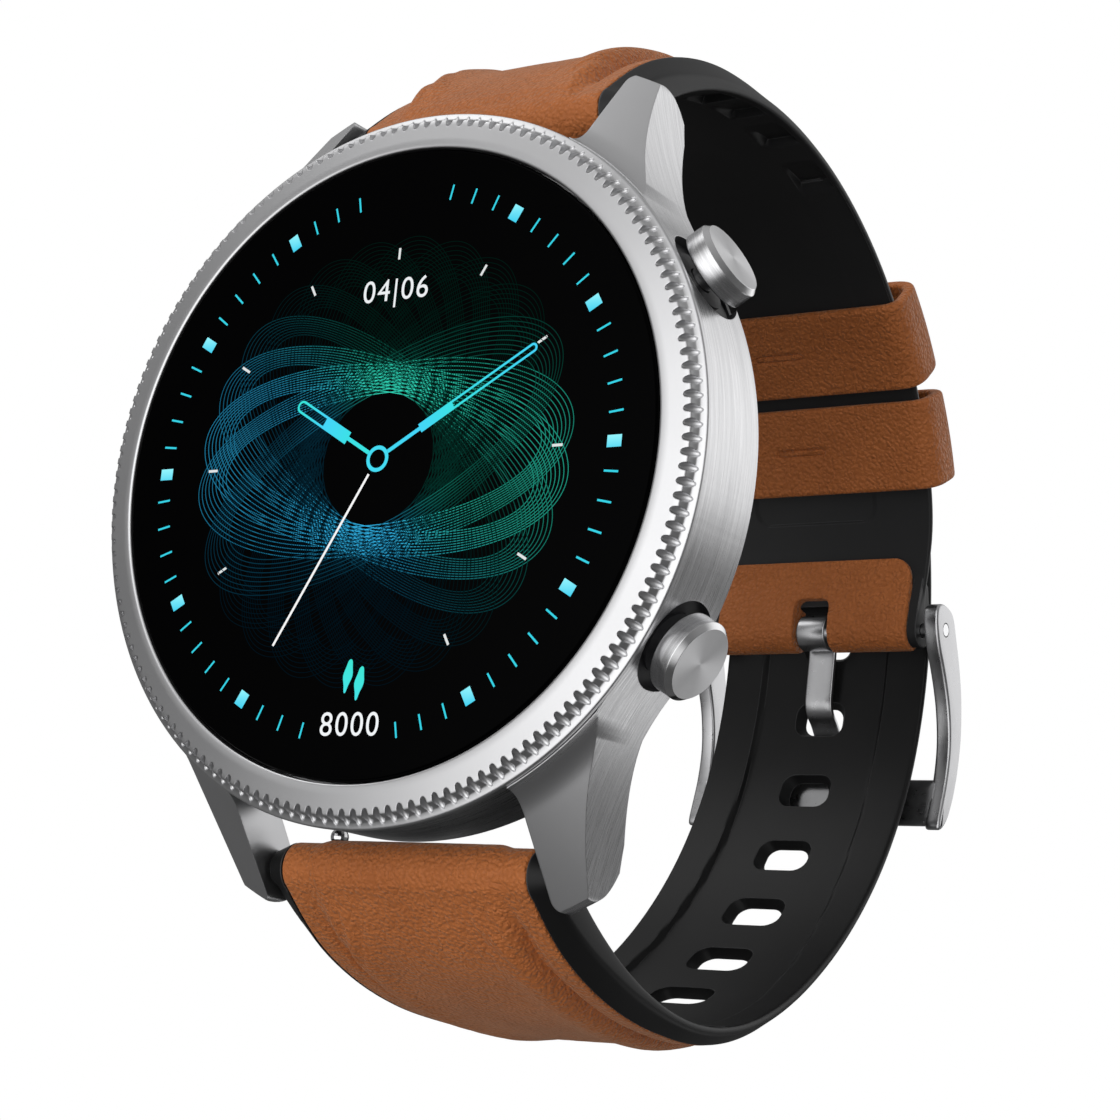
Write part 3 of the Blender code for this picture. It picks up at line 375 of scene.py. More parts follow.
def polar(station, radius, side=1, x=0.0):
    """World point at a strap station; side -1 mirrors it to the lower strap."""
    angle = math.radians(station)
    return LOOP_CENTRE + Vector((x, radius * math.cos(angle), side * radius * math.sin(angle)))


def half_width(station, side):
    """Half the strap's width at a station."""
    return law(HALF_WIDTH_UPPER if side > 0 else HALF_WIDTH_LOWER, station)


def stations_between(start, end, step):
    """Even stations from one end to the other, about a step apart."""
    count = max(1, round(abs(end - start) / step))
    return [start + (end - start) * index / count for index in range(count + 1)]


def pivot_point(side):
    """Centre of a strap half's spring bar."""
    low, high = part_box("upper_bar_fixed_pin" if side > 0 else "lower_bar_fixed_pin")
    middle = (low + high) / 2
    return Vector((0, middle.y, middle.z))


SLOTS = {part["node"]: part["material_slot"] for part in frame["record"]["subparts"]}
PIVOTS = {side: pivot_point(side) for side in (1, -1)}
BUCKLE_BAR = sum(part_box("buckle_bar"), Vector()) / 2


def around_pivot(angle, reach, side, x=0.0):
    """Point at an angle and distance from the spring bar, in the strap's own plane."""
    turn = math.radians(angle)
    return PIVOTS[side] + Vector((x, reach * math.cos(turn), side * reach * math.sin(turn)))


def radial(angle_deg, distance, depth):
    """Point in the dial's clock directions, measured from 12 towards 3."""
    angle = math.radians(angle_deg)
    return Vector((distance * math.sin(angle), depth, distance * math.cos(angle)))


def rounded_section(corners, radii, spans, arc=4):
    """Closed section whose corners are softened over their radii, with points along each side."""
    corners = [Vector(corner) for corner in corners]
    count = len(corners)
    lengths = [(corners[(i + 1) % count] - corners[i]).length for i in range(count)]
    radii = [min(radii[i], 0.48 * lengths[i], 0.48 * lengths[i - 1]) for i in range(count)]
    points = []
    for i, here in enumerate(corners):
        into = (here - corners[i - 1]).normalized()
        out = (corners[(i + 1) % count] - here).normalized()
        start = here - into * radii[i]
        end = here + out * radii[i]
        for step in range(arc + 1):
            t = step / arc
            points.append(start * (1 - t) ** 2 + here * 2 * t * (1 - t) + end * t * t)
        following = corners[(i + 1) % count] - out * radii[(i + 1) % count]
        for step in range(1, spans[i]):
            points.append(end.lerp(following, step / spans[i]))
    return points


def rounded_rectangle(width, height, corner):
    """Outline points of a rounded rectangle in the XY plane."""
    steps = 6
    points = []
    for number, (sx, sy) in enumerate(((1, 1), (-1, 1), (-1, -1), (1, -1))):
        centre = Vector((sx * (width / 2 - corner), sy * (height / 2 - corner), 0))
        for step in range(steps + 1):
            angle = math.pi / 2 * (number + step / steps)
            points.append(centre + Vector((math.cos(angle), math.sin(angle), 0)) * corner)
    return points


def curve_between(before, here, after, beyond, t):
    """Point at a share t of the way from here to after, on a curve through all four points."""
    cubic = 3 * (here - after) + beyond - before
    square = 2 * before - 5 * here + 4 * after - beyond
    return here + 0.5 * t * (after - before + t * (square + t * cubic))


# --- materials ----------------------------------------------------------------------------

class Nodes:
    """A node tree under construction."""

    def __init__(self, tree):
        self.tree = tree

    def add(self, kind, inputs=None, **settings):
        """New shader node with its settings, and its inputs set or linked."""
        node = self.tree.nodes.new("ShaderNode" + kind)
        for key, value in settings.items():
            setattr(node, key, value)
        for key, value in (inputs or {}).items():
            self.plug(node.inputs[key], value)
        return node

    def plug(self, socket, value):
        """Link a socket to an output, or set it to a value."""
        if isinstance(value, bpy.types.NodeSocket):
            self.tree.links.new(value, socket)
        elif isinstance(value, tuple) and len(value) == 3 and socket.type == "RGBA":
            socket.default_value = (*value, 1.0)
        else:
            socket.default_value = value

    def ramp(self, factor, low, high, start=0.0, end=1.0, shape="LINEAR"):
        """Map a factor from start..end to low..high."""
        node = self.add("MapRange", {"Value": factor, "From Min": start, "From Max": end,
                                     "To Min": low, "To Max": high}, interpolation_type=shape)
        return node.outputs["Result"]

    def maths(self, operation, first, second=0.0):
        return self.add("Math", {0: first, 1: second}, operation=operation).outputs[0]

    def vector_maths(self, operation, first, second=None):
        """Result of a vector operation, a number where the operation gives one."""
        node = self.add("VectorMath", {0: first}, operation=operation)
        if second is not None:
            self.plug(node.inputs["Scale" if operation == "SCALE" else 1], second)
        return node.outputs["Value" if operation in ("DOT_PRODUCT", "LENGTH") else 0]


class Finish(Nodes):
    """A material under construction, with positions in millimetres of the object."""

    def __init__(self, name, **surface):
        self.material = bpy.data.materials.new(name)
        self.material.use_nodes = True
        super().__init__(self.material.node_tree)
        self.surface = self.tree.nodes["Principled BSDF"]
        for key, value in surface.items():
            self.feed(key.replace("_", " ").title().replace("Ior", "IOR"), value)
        self.position = self.vector_maths("SCALE", self.add("TexCoord").outputs["Object"], 1 / MM)

    def feed(self, key, value):
        self.plug(self.surface.inputs[key], value)

    def stretched(self, scale):
        """Positions with each axis multiplied, for grain that runs one way."""
        return self.vector_maths("MULTIPLY", self.position, scale)

    def noise(self, scale=1.0, detail=2.0, vector=None, roughness=0.5):
        node = self.add("TexNoise", {"Vector": vector or self.position, "Scale": scale,
                                     "Detail": detail, "Roughness": roughness})
        return node.outputs["Fac"]

    def mix(self, factor, first, second):
        node = self.add("Mix", {0: factor, 6: first, 7: second}, data_type="RGBA")
        return node.outputs[2]

    def bump(self, height, distance_mm, strength=1.0, normal=None):
        """Normal of a fine relief, over another normal where there is one."""
        inputs = {"Height": height, "Distance": distance_mm * MM, "Strength": strength}
        if normal is not None:
            inputs["Normal"] = normal
        return self.add("Bump", inputs).outputs["Normal"]

    def soft_edges(self, radius_mm):
        return self.add("Bevel", {"Radius": radius_mm * MM}, samples=6).outputs["Normal"]


def satin_steel():
    """Bead-blasted steel: an even satin with a very fine mottle."""
    look = Finish("satin_steel", metallic=1.0)
    mottle = look.noise(9.0, 4.0)
    cloud = look.noise(0.12, 2.0)
    look.feed("Base Color", look.mix(cloud, (0.60, 0.60, 0.61), (0.70, 0.70, 0.71)))
    look.feed("Roughness", look.ramp(mottle, 0.30, 0.38))
    look.feed("Normal", look.bump(mottle, 0.004, 0.35, look.soft_edges(0.09)))
    return look.material


def brushed_steel(name, lines, low, high, depth_mm):
    """Steel brushed one way: noise squeezed across the strokes."""
    look = Finish(name, metallic=1.0)
    strokes = look.noise(1.0, 6.0, look.stretched(lines), 0.65)
    long_strokes = look.noise(0.35, 3.0, look.stretched(lines))
    look.feed("Base Color", look.mix(look.ramp(long_strokes, 0, 1, 0.3, 0.7),
                                     (0.56, 0.56, 0.57), (0.74, 0.74, 0.75)))
    look.feed("Roughness", look.ramp(strokes, low, high, 0.3, 0.7))
    look.feed("Normal", look.bump(strokes, depth_mm, 0.5, look.soft_edges(0.08)))
    return look.material


def sunburst_steel():
    """Button face brushed round its own axis, with the fan of light that gives."""
    look = Finish("sunburst_steel", metallic=1.0, anisotropic=0.85, roughness=0.34)
    distance = look.vector_maths("LENGTH", look.stretched((1.0, 1.0, 0.0)))
    ring = look.add("CombineXYZ", {"X": look.maths("MULTIPLY", distance, 22.0)}).outputs[0]
    rings = look.noise(1.0, 4.0, ring)
    look.feed("Base Color", look.mix(rings, (0.58, 0.58, 0.59), (0.72, 0.72, 0.73)))
    look.feed("Tangent", look.add("Tangent", direction_type="RADIAL", axis="Z").outputs[0])
    look.feed("Normal", look.bump(rings, 0.006, 0.4))
    return look.material


def polished_steel():
    """Polished steel with faint handling marks."""
    look = Finish("polished_steel", metallic=1.0)
    smear = look.noise(1.4, 5.0)
    look.feed("Base Color", look.mix(smear, (0.70, 0.70, 0.71), (0.80, 0.80, 0.81)))
    look.feed("Roughness", look.ramp(smear, 0.09, 0.2, 0.35, 0.7))
    look.feed("Normal", look.soft_edges(0.07))
    return look.material


def cover_glass():
    """Black glass with a hard gloss and a trace of smearing."""
    look = Finish("cover_glass", base_color=(0.0003, 0.0003, 0.0004))
    look.feed("Specular IOR Level", 0.03)
    look.feed("Roughness", look.ramp(look.noise(0.5, 4.0), 0.02, 0.06))
    return look.material


def leather():
    """Full-grain leather: fine uneven pebbles, soft colour clouds, and painted shade that darkens the pits.
    """
    look = Finish("brown_leather", sheen_weight=0.22, sheen_roughness=0.4)
    look.feed("Sheen Tint", (1.0, 0.80, 0.62))
    wander = look.add("TexNoise", {"Vector": look.position, "Scale": 1.6, "Detail": 2.0})
    push = look.vector_maths("SCALE", wander.outputs["Color"], 0.25)
    pushed = look.vector_maths("ADD", look.position, push)
    pebbles = look.add("TexVoronoi", {"Vector": pushed, "Scale": 3.3, "Randomness": 0.95},
                       feature="SMOOTH_F1")
    pebbles.inputs["Smoothness"].default_value = 0.25
    creases = look.add("TexVoronoi", {"Vector": pushed, "Scale": 1.5}, feature="DISTANCE_TO_EDGE")
    dome = look.ramp(pebbles.outputs["Distance"], 1.0, 0.0, 0.05, 0.75)
    groove = look.ramp(creases.outputs["Distance"], 0.0, 0.25, 0.0, 0.12)
    pores = look.maths("MULTIPLY", look.noise(7.0, 4.0), 0.25)
    height = look.maths("ADD", look.maths("ADD", dome, groove), pores)
    cloud = look.noise(0.22, 3.0)
    tint = look.mix(look.ramp(cloud, 0.2, 0.8, 0.3, 0.7), LEATHER_WARM, LEATHER_LIGHT)
    # Painted shade: the colour darkens towards the dark tone in the pits between the pebbles, where shade
    # would fall.
    look.feed("Base Color", look.mix(look.ramp(dome, 0.18, 0.0, 0.1, 0.6), tint, LEATHER_PIT_SHADE))
    look.feed("Roughness", look.ramp(dome, 0.62, 0.48))
    look.feed("Specular IOR Level", 0.3)
    look.feed("Normal", look.bump(height, 0.10, 1.0))
    return look.material


def silicone(name, dark, light):
    """Soft black silicone: low sheen, the finest moulded texture and a painted highlight that makes its
    edges paler.
    """
    look = Finish(name)
    cloud = look.noise(0.3, 3.0)
    skin = look.noise(14.0, 3.0)
    dusk = look.mix(cloud, (dark, dark, dark * 1.03), (light, light, light * 1.03))
    rounded = look.soft_edges(0.14)
    flat = look.add("NewGeometry").outputs["Normal"]
    facing = look.vector_maths("DOT_PRODUCT", rounded, flat)
    # Painted highlight: where the rounded normal turns away from the flat one, at the edges, the colour
    # lightens to pale grey.
    look.feed("Base Color", look.mix(look.ramp(facing, 1.0, 0.0, 0.75, 0.985), dusk, (0.13, 0.13, 0.134)))
    look.feed("Roughness", look.ramp(skin, 0.38, 0.5))
    look.feed("Specular IOR Level", 0.22)
    look.feed("Normal", look.bump(skin, 0.006, 0.3, rounded))
    return look.material


def moulded_plastic():
    """Dark moulded plastic with a fine spark-eroded texture."""
    look = Finish("moulded_plastic")
    spark = look.noise(11.0, 5.0)
    look.feed("Base Color", look.mix(look.noise(0.4), (0.022, 0.022, 0.025), (0.036, 0.036, 0.04)))
    look.feed("Roughness", look.ramp(spark, 0.42, 0.6))
    look.feed("Normal", look.bump(spark, 0.012, 0.5))
    return look.material


def circuit_board():
    """Green solder mask over square copper runs."""
    look = Finish("circuit_board", roughness=0.4)
    runs = look.add("TexBrick", {"Vector": look.position, "Scale": 1.3,
                                 "Mortar Size": 0.06, "Color1": (0.015, 0.085, 0.045),
                                 "Color2": (0.02, 0.11, 0.055), "Mortar": (0.05, 0.2, 0.1)})
    look.feed("Base Color", runs.outputs["Color"])
    look.feed("Normal", look.bump(runs.outputs["Fac"], 0.02, 0.6))
    return look.material


def plated(name, dark, light, roughness):
    """Plated or foiled metal with light wear."""
    look = Finish(name, metallic=1.0)
    wear = look.noise(2.0, 5.0)
    look.feed("Base Color", look.mix(wear, dark, light))
    look.feed("Roughness", look.ramp(wear, roughness, roughness + 0.15))
    look.feed("Normal", look.bump(wear, 0.004, 0.3, look.soft_edges(0.08)))
    return look.material


def lit_display():
    """Light from the panel: each drawn line carries its own colour."""
    look = Finish("lit_display", base_color=(0.0, 0.0, 0.0), roughness=0.3)
    look.feed("Specular IOR Level", 0.0)
    tint = look.add("Attribute", attribute_name="tint").outputs["Color"]
    look.feed("Emission Color", tint)
    look.feed("Emission Strength", 1.0)
    return look.material


SATIN = satin_steel()
BRUSHED = brushed_steel("brushed_flank_steel", (0.35, 24.0, 0.35), 0.2, 0.42, 0.007)
LATHED = brushed_steel("lathed_steel", (0.3, 0.3, 26.0), 0.2, 0.28, 0.0008)
FINE_SATIN = plated("fine_satin_steel", (0.50, 0.50, 0.51), (0.58, 0.58, 0.59), 0.22)
SUNBURST = sunburst_steel()
POLISHED = polished_steel()
GLASS = cover_glass()
LEATHER = leather()
SILICONE = silicone("black_silicone", 0.020, 0.026)
# Painted shade: the lower half is the same black silicone as the upper, in a darker copy so that it looks
# more shaded.
SHADED_TAIL_SILICONE = silicone("shaded_black_tail_silicone", 0.007, 0.011)
PLASTIC = moulded_plastic()
BOARD = circuit_board()
FOIL = plated("battery_foil", (0.30, 0.31, 0.33), (0.42, 0.43, 0.45), 0.3)
GOLD = plated("gold_contacts", (0.78, 0.52, 0.2), (0.9, 0.66, 0.3), 0.18)
DISPLAY = lit_display()


# --- watch head -----------------------------------------------------------------------------

def lug_outline():
    """Outline of one lug in plan, from the flank at its outer side round to its inner side."""
    start_angle = math.radians(LUG_START_ANGLE)
    start = Vector((CASE_RADIUS * math.cos(start_angle), CASE_RADIUS * math.sin(start_angle)))
    tangent = Vector((-math.sin(start_angle), math.cos(start_angle)))
    shoulder = (13.4 * MM, 25.3 * MM)
    outer = bezier([start, start + tangent * 4.0 * MM, (14.15 * MM, 21.9 * MM), shoulder], 48)
    tip = bezier([shoulder, (13.2 * MM, 26.4 * MM), (12.6 * MM, LUG_TIP_Z), (11.8 * MM, LUG_TIP_Z)], 14)
    inner_x = LUG_GAP / 2
    corner = bezier([(11.8 * MM, LUG_TIP_Z), (inner_x, LUG_TIP_Z), (inner_x, LUG_TIP_Z - 0.7 * MM)], 8)
    return outer + tip[1:] + corner[1:]


def case_plan():
    """Closed plan of the case: flank circle with four lugs and the gaps between them."""
    quarter = lug_outline()
    gap_angle = math.acos(LUG_GAP / 2 / CASE_RADIUS)
    side = [(CASE_RADIUS * math.cos(a), CASE_RADIUS * math.sin(a))
            for a in [math.radians(LUG_START_ANGLE * step / 24) for step in range(24)]]
    between = [gap_angle + (math.pi / 2 - gap_angle) * step / 20 for step in range(21)]
    top = [(CASE_RADIUS * math.cos(a), CASE_RADIUS * math.sin(a)) for a in between]
    upper_right = side + quarter + top
    upper_left = [(-x, z) for x, z in reversed(upper_right[:-1])]
    upper = upper_right + upper_left
    lower = [(x, -z) for x, z in reversed(upper[1:-1])]
    return [(x, 0, z) for x, z in upper + lower]


def case_envelope():
    """Turned form that the case and the lugs are both cut from: front cone and drooping backs."""
    front = bezier([(23.0 * MM, CASE_FRONT), (23.05 * MM, 2.7 * MM), (24.35 * MM, 3.75 * MM)], 12)
    tip = bezier([(29.0 * MM, 7.75 * MM), (29.4 * MM, 9.6 * MM), (27.6 * MM, 10.3 * MM)], 10)
    under = bezier([(26.4 * MM, 9.85 * MM), (24.6 * MM, 8.5 * MM), (23.2 * MM, CASE_BACK)], 8)
    groove = [(21.4 * MM, CASE_BACK), (21.4 * MM, 7.0 * MM), (20.6 * MM, 7.0 * MM), (20.6 * MM, CASE_BACK)]
    ring = front + tip + under + groove
    return [(CAVITY_RADIUS, CASE_FRONT)] + ring + [(CAVITY_RADIUS, CASE_BACK)]


def cut_case(case):
    """Pocket and stem bore behind each button, and the holes for the spring bars' pins."""
    for angle in BUTTON_ANGLES.values():
        for inner, radius in ((POCKET_FLOOR, POCKET_RADIUS), (STEM_BORE_START, STEM_BORE_RADIUS)):
            bore = rod("bore", radial(angle, inner, BUTTON_DEPTH),
                       radial(angle, POCKET_CUT_END, BUTTON_DEPTH), radius, 64)
            combine(case, bore, "DIFFERENCE")
    for side in (1, -1):
        combine(case, cross_rod("socket", PIVOTS[side], SOCKET_REACH, SOCKET_RADIUS, 24), "DIFFERENCE")


def in_shaded_pocket(face, axis):
    """Whether a face belongs to the wall or the floor of the button pocket on an axis, which gets painted
    shade.
    """
    spoke = face.center - Vector((0, BUTTON_DEPTH, 0))
    depth = spoke.dot(axis)
    near = 15 * MM < depth < POCKET_MOUTH and spoke.cross(axis).length < POCKET_RADIUS + 0.02 * MM
    return near and (face.normal.dot(axis) < 0.9 or depth < POCKET_FLOOR + 0.2 * MM)


def dress_case():
    """Case and lugs: satin from the front, brushed along the depth of the flanks, and dark plastic in the
    button pockets as painted shade.
    """
    case = turned("case_shell", case_envelope(), 288)
    combine(case, prism("plan", case_plan(), (0, 1.0 * MM, 0), (0, 11.0 * MM, 0)), "INTERSECT")
    cut_case(case)
    own(case, SATIN, "case", "steel", "case_body")
    case.data.materials.append(BRUSHED)
    case.data.materials.append(PLASTIC)
    axes = [radial(angle, 1, 0) for angle in BUTTON_ANGLES.values()]
    for face in case.data.polygons:
        outward = face.normal.x * face.center.x + face.normal.z * face.center.z
        face.material_index = 1 if abs(face.normal.y) < 0.3 and outward > 0 else 0
        # Painted shade: the walls and floors of the button pockets take dark plastic so that they read as
        # deep shadow.
        if any(in_shaded_pocket(face, axis) for axis in axes):
            face.material_index = 2


def bezel_profile():
    """Section of the bezel: polished lip, sloping front, wall and flange."""
    lip = bezier([(20.25 * MM, 0.12 * MM), (20.27 * MM, -0.02 * MM), (20.45 * MM, -0.025 * MM)], 4)
    shoulder = bezier([(22.08 * MM, 0.255 * MM), (22.22 * MM, 0.29 * MM), (22.25 * MM, 0.42 * MM)], 4)
    foot = [(22.38 * MM, 0.84 * MM), (22.5 * MM, 0.96 * MM)]
    flange = bezier([(22.78 * MM, 1.03 * MM), (BEZEL_RADIUS, 1.07 * MM), (BEZEL_RADIUS, 1.18 * MM)], 4)
    front = [(20.45 * MM + (22.08 - 20.45) * MM * t, -0.025 * MM + 0.28 * MM * t) for t in (0.3, 0.6, 0.85)]
    underside = [(BEZEL_RADIUS, 1.4 * MM), (19.85 * MM, 1.4 * MM)]
    skirt = [(19.85 * MM, 2.1 * MM), (19.0 * MM, 2.1 * MM), (19.0 * MM, 1.35 * MM), (20.25 * MM, 1.35 * MM)]
    return lip + front + shoulder + foot + flange + underside + skirt


def slot_cutter():
    """Bean-shaped scoop across the shoulder at 12 o'clock, open to the outside."""
    along = Vector((0, 0.76, 0.65)).normalized()
    outward = Vector((0, -0.65, 0.76)).normalized()
    centre = Vector((0, 0.565 * MM, 22.17 * MM))
    bm = bmesh.new()
    bmesh.ops.create_uvsphere(bm, u_segments=28, v_segments=20, radius=1.0)
    for vert in bm.verts:
        x, y, z = vert.co
        opening = 1.0 * MM if y > -0.001 else 0.0
        vert.co = (centre + ACROSS * x * SLOT_HALF_WIDTH + outward * (y * SLOT_DEPTH + opening)
                   + along * z * SLOT_HALF_LENGTH)
    return from_bmesh("slot", bm)


def bezel_wedge(pitch):
    """One slotted wedge of the bezel at 12 o'clock, open at its two radial ends."""
    steps = 4
    rings = []
    for step in range(steps + 1):
        angle = pitch * (step / steps - 0.5)
        rings.append([(r * math.sin(angle), y, r * math.cos(angle)) for r, y in bezel_profile()])
    wedge = loft("wedge", rings)
    combine(wedge, slot_cutter(), "DIFFERENCE")
    bm = bmesh.new()
    bm.from_mesh(wedge.data)
    limit = math.sin(pitch / 2) * 0.9999
    ends = [face for face in bm.faces
            if all(abs(vert.co.x) / math.hypot(vert.co.x, vert.co.z) > limit for vert in face.verts)
            and len({vert.co.x > 0 for vert in face.verts}) == 1]
    bmesh.ops.delete(bm, geom=ends, context="FACES")
    bm.to_mesh(wedge.data)
    bm.free()
    return wedge


def dress_bezel():
    """Bezel ring: one slotted wedge repeated all the way round."""
    pitch = math.tau / SLOT_COUNT
    wedge = bezel_wedge(pitch)
    ring = bmesh.new()
    for index in range(SLOT_COUNT):
        start = len(ring.verts)
        ring.from_mesh(wedge.data)
        ring.verts.ensure_lookup_table()
        turn = Matrix.Rotation(pitch * index, 4, "Y")
        bmesh.ops.transform(ring, matrix=turn, verts=ring.verts[start:])
    bpy.data.objects.remove(wedge, do_unlink=True)
    own(from_bmesh("slotted_bezel", ring), SATIN, "case", "steel", "bezel_ring")


def spun(name, profile, angle):
    """Piece turned about a button's axis from (radius, distance) points, Z along the axis."""
    steps = 96
    rings = []
    for step in range(steps):
        turn = math.tau * step / steps
        rings.append([(r * math.cos(turn), r * math.sin(turn), d - BUTTON_FACE) for r, d in profile])
    obj = loft(name, rings, closed=True)
    outward = radial(angle, 1, 0)
    obj.matrix_world = Matrix.Translation(radial(angle, BUTTON_FACE, BUTTON_DEPTH)) @ aim(outward)
    return obj


def dress_button(name):
    """Pusher with a lathed side, a bright chamfer and a sunburst face."""
    angle = BUTTON_ANGLES[name]
    chamfer_back = BUTTON_FACE - 0.35 * MM
    edge = bezier([(BUTTON_RADIUS - 0.12 * MM, BUTTON_BACK), (BUTTON_RADIUS, BUTTON_BACK),
                   (BUTTON_RADIUS, BUTTON_BACK + 0.12 * MM)], 4)
    stem = [(AXIS_RADIUS, 18.9 * MM), (0.62 * MM, 18.9 * MM), (0.62 * MM, 19.15 * MM),
            (0.45 * MM, 19.15 * MM), (0.45 * MM, 19.45 * MM), (0.8 * MM, 19.45 * MM), (0.8 * MM, 20.7 * MM),
            (0.6 * MM, 20.7 * MM), (0.6 * MM, 21.05 * MM), (0.8 * MM, 21.05 * MM), (0.8 * MM, BUTTON_BACK)]
    head = [(BUTTON_RADIUS, chamfer_back), (BUTTON_RADIUS - 0.3 * MM, BUTTON_FACE),
            (BUTTON_RADIUS * 0.45, BUTTON_FACE), (AXIS_RADIUS, BUTTON_FACE)]
    pusher = spun("%s_pusher" % name, stem + edge + head, angle)
    own(pusher, LATHED, "%s_button" % name, "polished_steel", "%s_button" % name)
    pusher.data.materials.append(POLISHED)
    pusher.data.materials.append(SUNBURST)
    for face in pusher.data.polygons:
        if face.center.z > -0.02 * MM:
            face.material_index = 2
        elif face.center.z > chamfer_back - BUTTON_FACE:
            face.material_index = 1


# --- watch face -------------------------------------------------------------------------------

def light_up(name, mesh):
    """Lit line work on the case."""
    mesh.materials.clear()
    mesh.materials.append(DISPLAY)
    obj = place(name, mesh)
    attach(obj, "case")


class Drawing:
    """Flat luminous line work in dial millimetres, x to the right and z up."""

    def __init__(self, name, lift_mm):
        self.name = name
        self.depth = -lift_mm * MM
        self.points = []
        self.faces = []
        self.tints = []

    def polygon(self, outline, tints):
        """Filled outline with a colour for each of its points."""
        start = len(self.points)
        self.points += [(x * MM, self.depth, z * MM) for x, z in outline]
        self.tints += tints
        self.faces.append(tuple(range(start, start + len(outline))))

    def stroke(self, line, width, tint, closed=False):
        """Ribbon along a line, in one colour or in a colour worked out at each point."""
        count = len(line)
        start = len(self.points)
        for index, (x, z) in enumerate(line):
            ahead = line[(index + 1) % count] if closed else line[min(index + 1, count - 1)]
            behind = line[index - 1] if closed else line[max(index - 1, 0)]
            dx, dz = ahead[0] - behind[0], ahead[1] - behind[1]
            length = math.hypot(dx, dz) or 1.0
            nx, nz = -dz / length * width / 2, dx / length * width / 2
            self.points.append(((x + nx) * MM, self.depth, (z + nz) * MM))
            self.points.append(((x - nx) * MM, self.depth, (z - nz) * MM))
            colour = tint(x, z) if callable(tint) else tint
            self.tints += [colour, colour]
        for index in range(count if closed else count - 1):
            a = start + 2 * index
            b = start + 2 * ((index + 1) % count)
            self.faces.append((a, a + 1, b + 1, b))

    def finish(self):
        """Make the drawing one lit mesh on the case."""
        mesh = bpy.data.meshes.new(self.name)
        mesh.from_pydata(self.points, [], self.faces)
        tint = mesh.color_attributes.new("tint", "FLOAT_COLOR", "POINT")
        for item, colour in zip(tint.data, self.tints):
            item.color = (*colour, 1.0)
        light_up(self.name, mesh)


def mixed(first, second, share):
    """Colour between two, nearer the second as the share grows to 1."""
    share = min(max(share, 0.0), 1.0)
    return tuple(a + (b - a) * share for a, b in zip(first, second))


def clock(angle_deg, radius, across=0.0):
    """Dial point at a clock angle and radius, shifted across that direction."""
    angle = math.radians(angle_deg)
    return (radius * math.sin(angle) + across * math.cos(angle),
            radius * math.cos(angle) - across * math.sin(angle))


def draw_track():
    """Minute ticks, hour blocks and the inner hour ticks, with room for the text at 12 and 6."""
    art = Drawing("minute_track", 0.012)
    for minute in range(60):
        angle = minute * 6
        if min(angle % 180, 180 - angle % 180) < 9:
            continue
        if minute % 5:
            art.stroke([clock(angle, reach) for reach in TICK_SPAN], 0.13, (0.04, 0.66, 0.80))
            continue
        near, far = BLOCK_SPAN
        corners = ((near, -BLOCK_HALF), (far, -BLOCK_HALF), (far, BLOCK_HALF), (near, BLOCK_HALF))
        block = [clock(angle, reach, across) for reach, across in corners]
        top = max(z for _, z in block)
        art.polygon(block, [mixed((0.30, 0.93, 1.0), (0.05, 0.64, 0.88), top - z) for _, z in block])
    for hour in range(12):
        if hour not in (6, 7):
            art.stroke([clock(hour * 30, reach) for reach in HOUR_TICK_SPAN], 0.17, (0.75, 0.78, 0.78))
    art.finish()


def draw_hand(art, angle, stem, body, tip, width):
    """Hand with a thin stem, a solid body and a hollow rounded blade."""
    def tint(x, z):
        return mixed((0.04, 0.80, 0.72), (0.06, 0.66, 0.95), 0.5 + 0.5 * math.sin(0.9 * x - 0.4 * z))
    art.stroke([clock(angle, 0.85), clock(angle, stem)], 0.26, tint)
    art.stroke([clock(angle, stem), clock(angle, body)], width, tint)
    half = width / 2 - 0.08
    blade = [clock(angle, body, -half)]
    for turn in range(-90, 91, 15):
        spread = math.radians(turn)
        blade.append(clock(angle, tip - half + half * math.cos(spread), half * math.sin(spread)))
    blade.append(clock(angle, body, half))
    art.stroke(blade, 0.15, tint)


def draw_hands():
    """Hour, minute and second hands, with a ring at their hub."""
    art = Drawing("watch_hands", 0.02)
    draw_hand(art, HOUR_HAND_ANGLE, 2.9, 5.2, 7.8, 0.85)
    draw_hand(art, MINUTE_HAND_ANGLE, 3.5, 6.2, 12.8, 0.62)
    hub = [clock(a, 0.72) for a in range(0, 360, 10)]
    art.stroke(hub, 0.25, (0.06, 0.72, 0.90), closed=True)
    art.finish()
    second = Drawing("second_hand", 0.024)
    line = [clock(SECOND_HAND_ANGLE, 1.1), clock(SECOND_HAND_ANGLE, 13.4)]
    second.stroke(line, 0.17, (0.95, 0.95, 0.95))
    second.finish()


def rosette_tint(strength):
    """Blue at the lower left to green at the upper right, brightest close to the dark centre."""
    def tint(x, z):
        reach = math.hypot(x, z)
        share = smoothstep(-0.45, 0.55, (0.75 * x + 0.65 * z) / (reach + 0.001))
        glow = strength * (0.42 + 0.6 * math.exp(-((reach - 4.8) / 2.2) ** 2))
        return tuple(glow * part for part in mixed((0.03, 0.40, 0.70), (0.03, 0.62, 0.44), share))
    return tint


def turned_ellipse(long_axis, short_axis, turn):
    """Ellipse about the dial's centre, its long axis turned from 3 o'clock."""
    line = []
    for step in range(ROSETTE_STEPS):
        t = math.tau * step / ROSETTE_STEPS
        x, z = long_axis * math.cos(t), short_axis * math.sin(t)
        line.append((x * math.cos(turn) - z * math.sin(turn), x * math.sin(turn) + z * math.cos(turn)))
    return line


def draw_rosette():
    """Fans of nested ellipses turned about the centre: the level ones shine and the rest fade."""
    art = Drawing("dial_rosette", 0.004)
    for fan in range(ROSETTE_FANS):
        for leaf in range(ROSETTE_LEAVES):
            turn = math.radians(6.0 - 14.5 * fan - 0.5 * leaf)
            strength = 0.035 + 1.2 * abs(math.cos(turn + 0.12)) ** 13
            line = turned_ellipse(14.4 - 0.28 * leaf, 6.0 - 0.22 * leaf, turn)
            art.depth -= 0.00008 * MM
            art.stroke(line, 0.05, rosette_tint(strength), closed=True)
    art.finish()


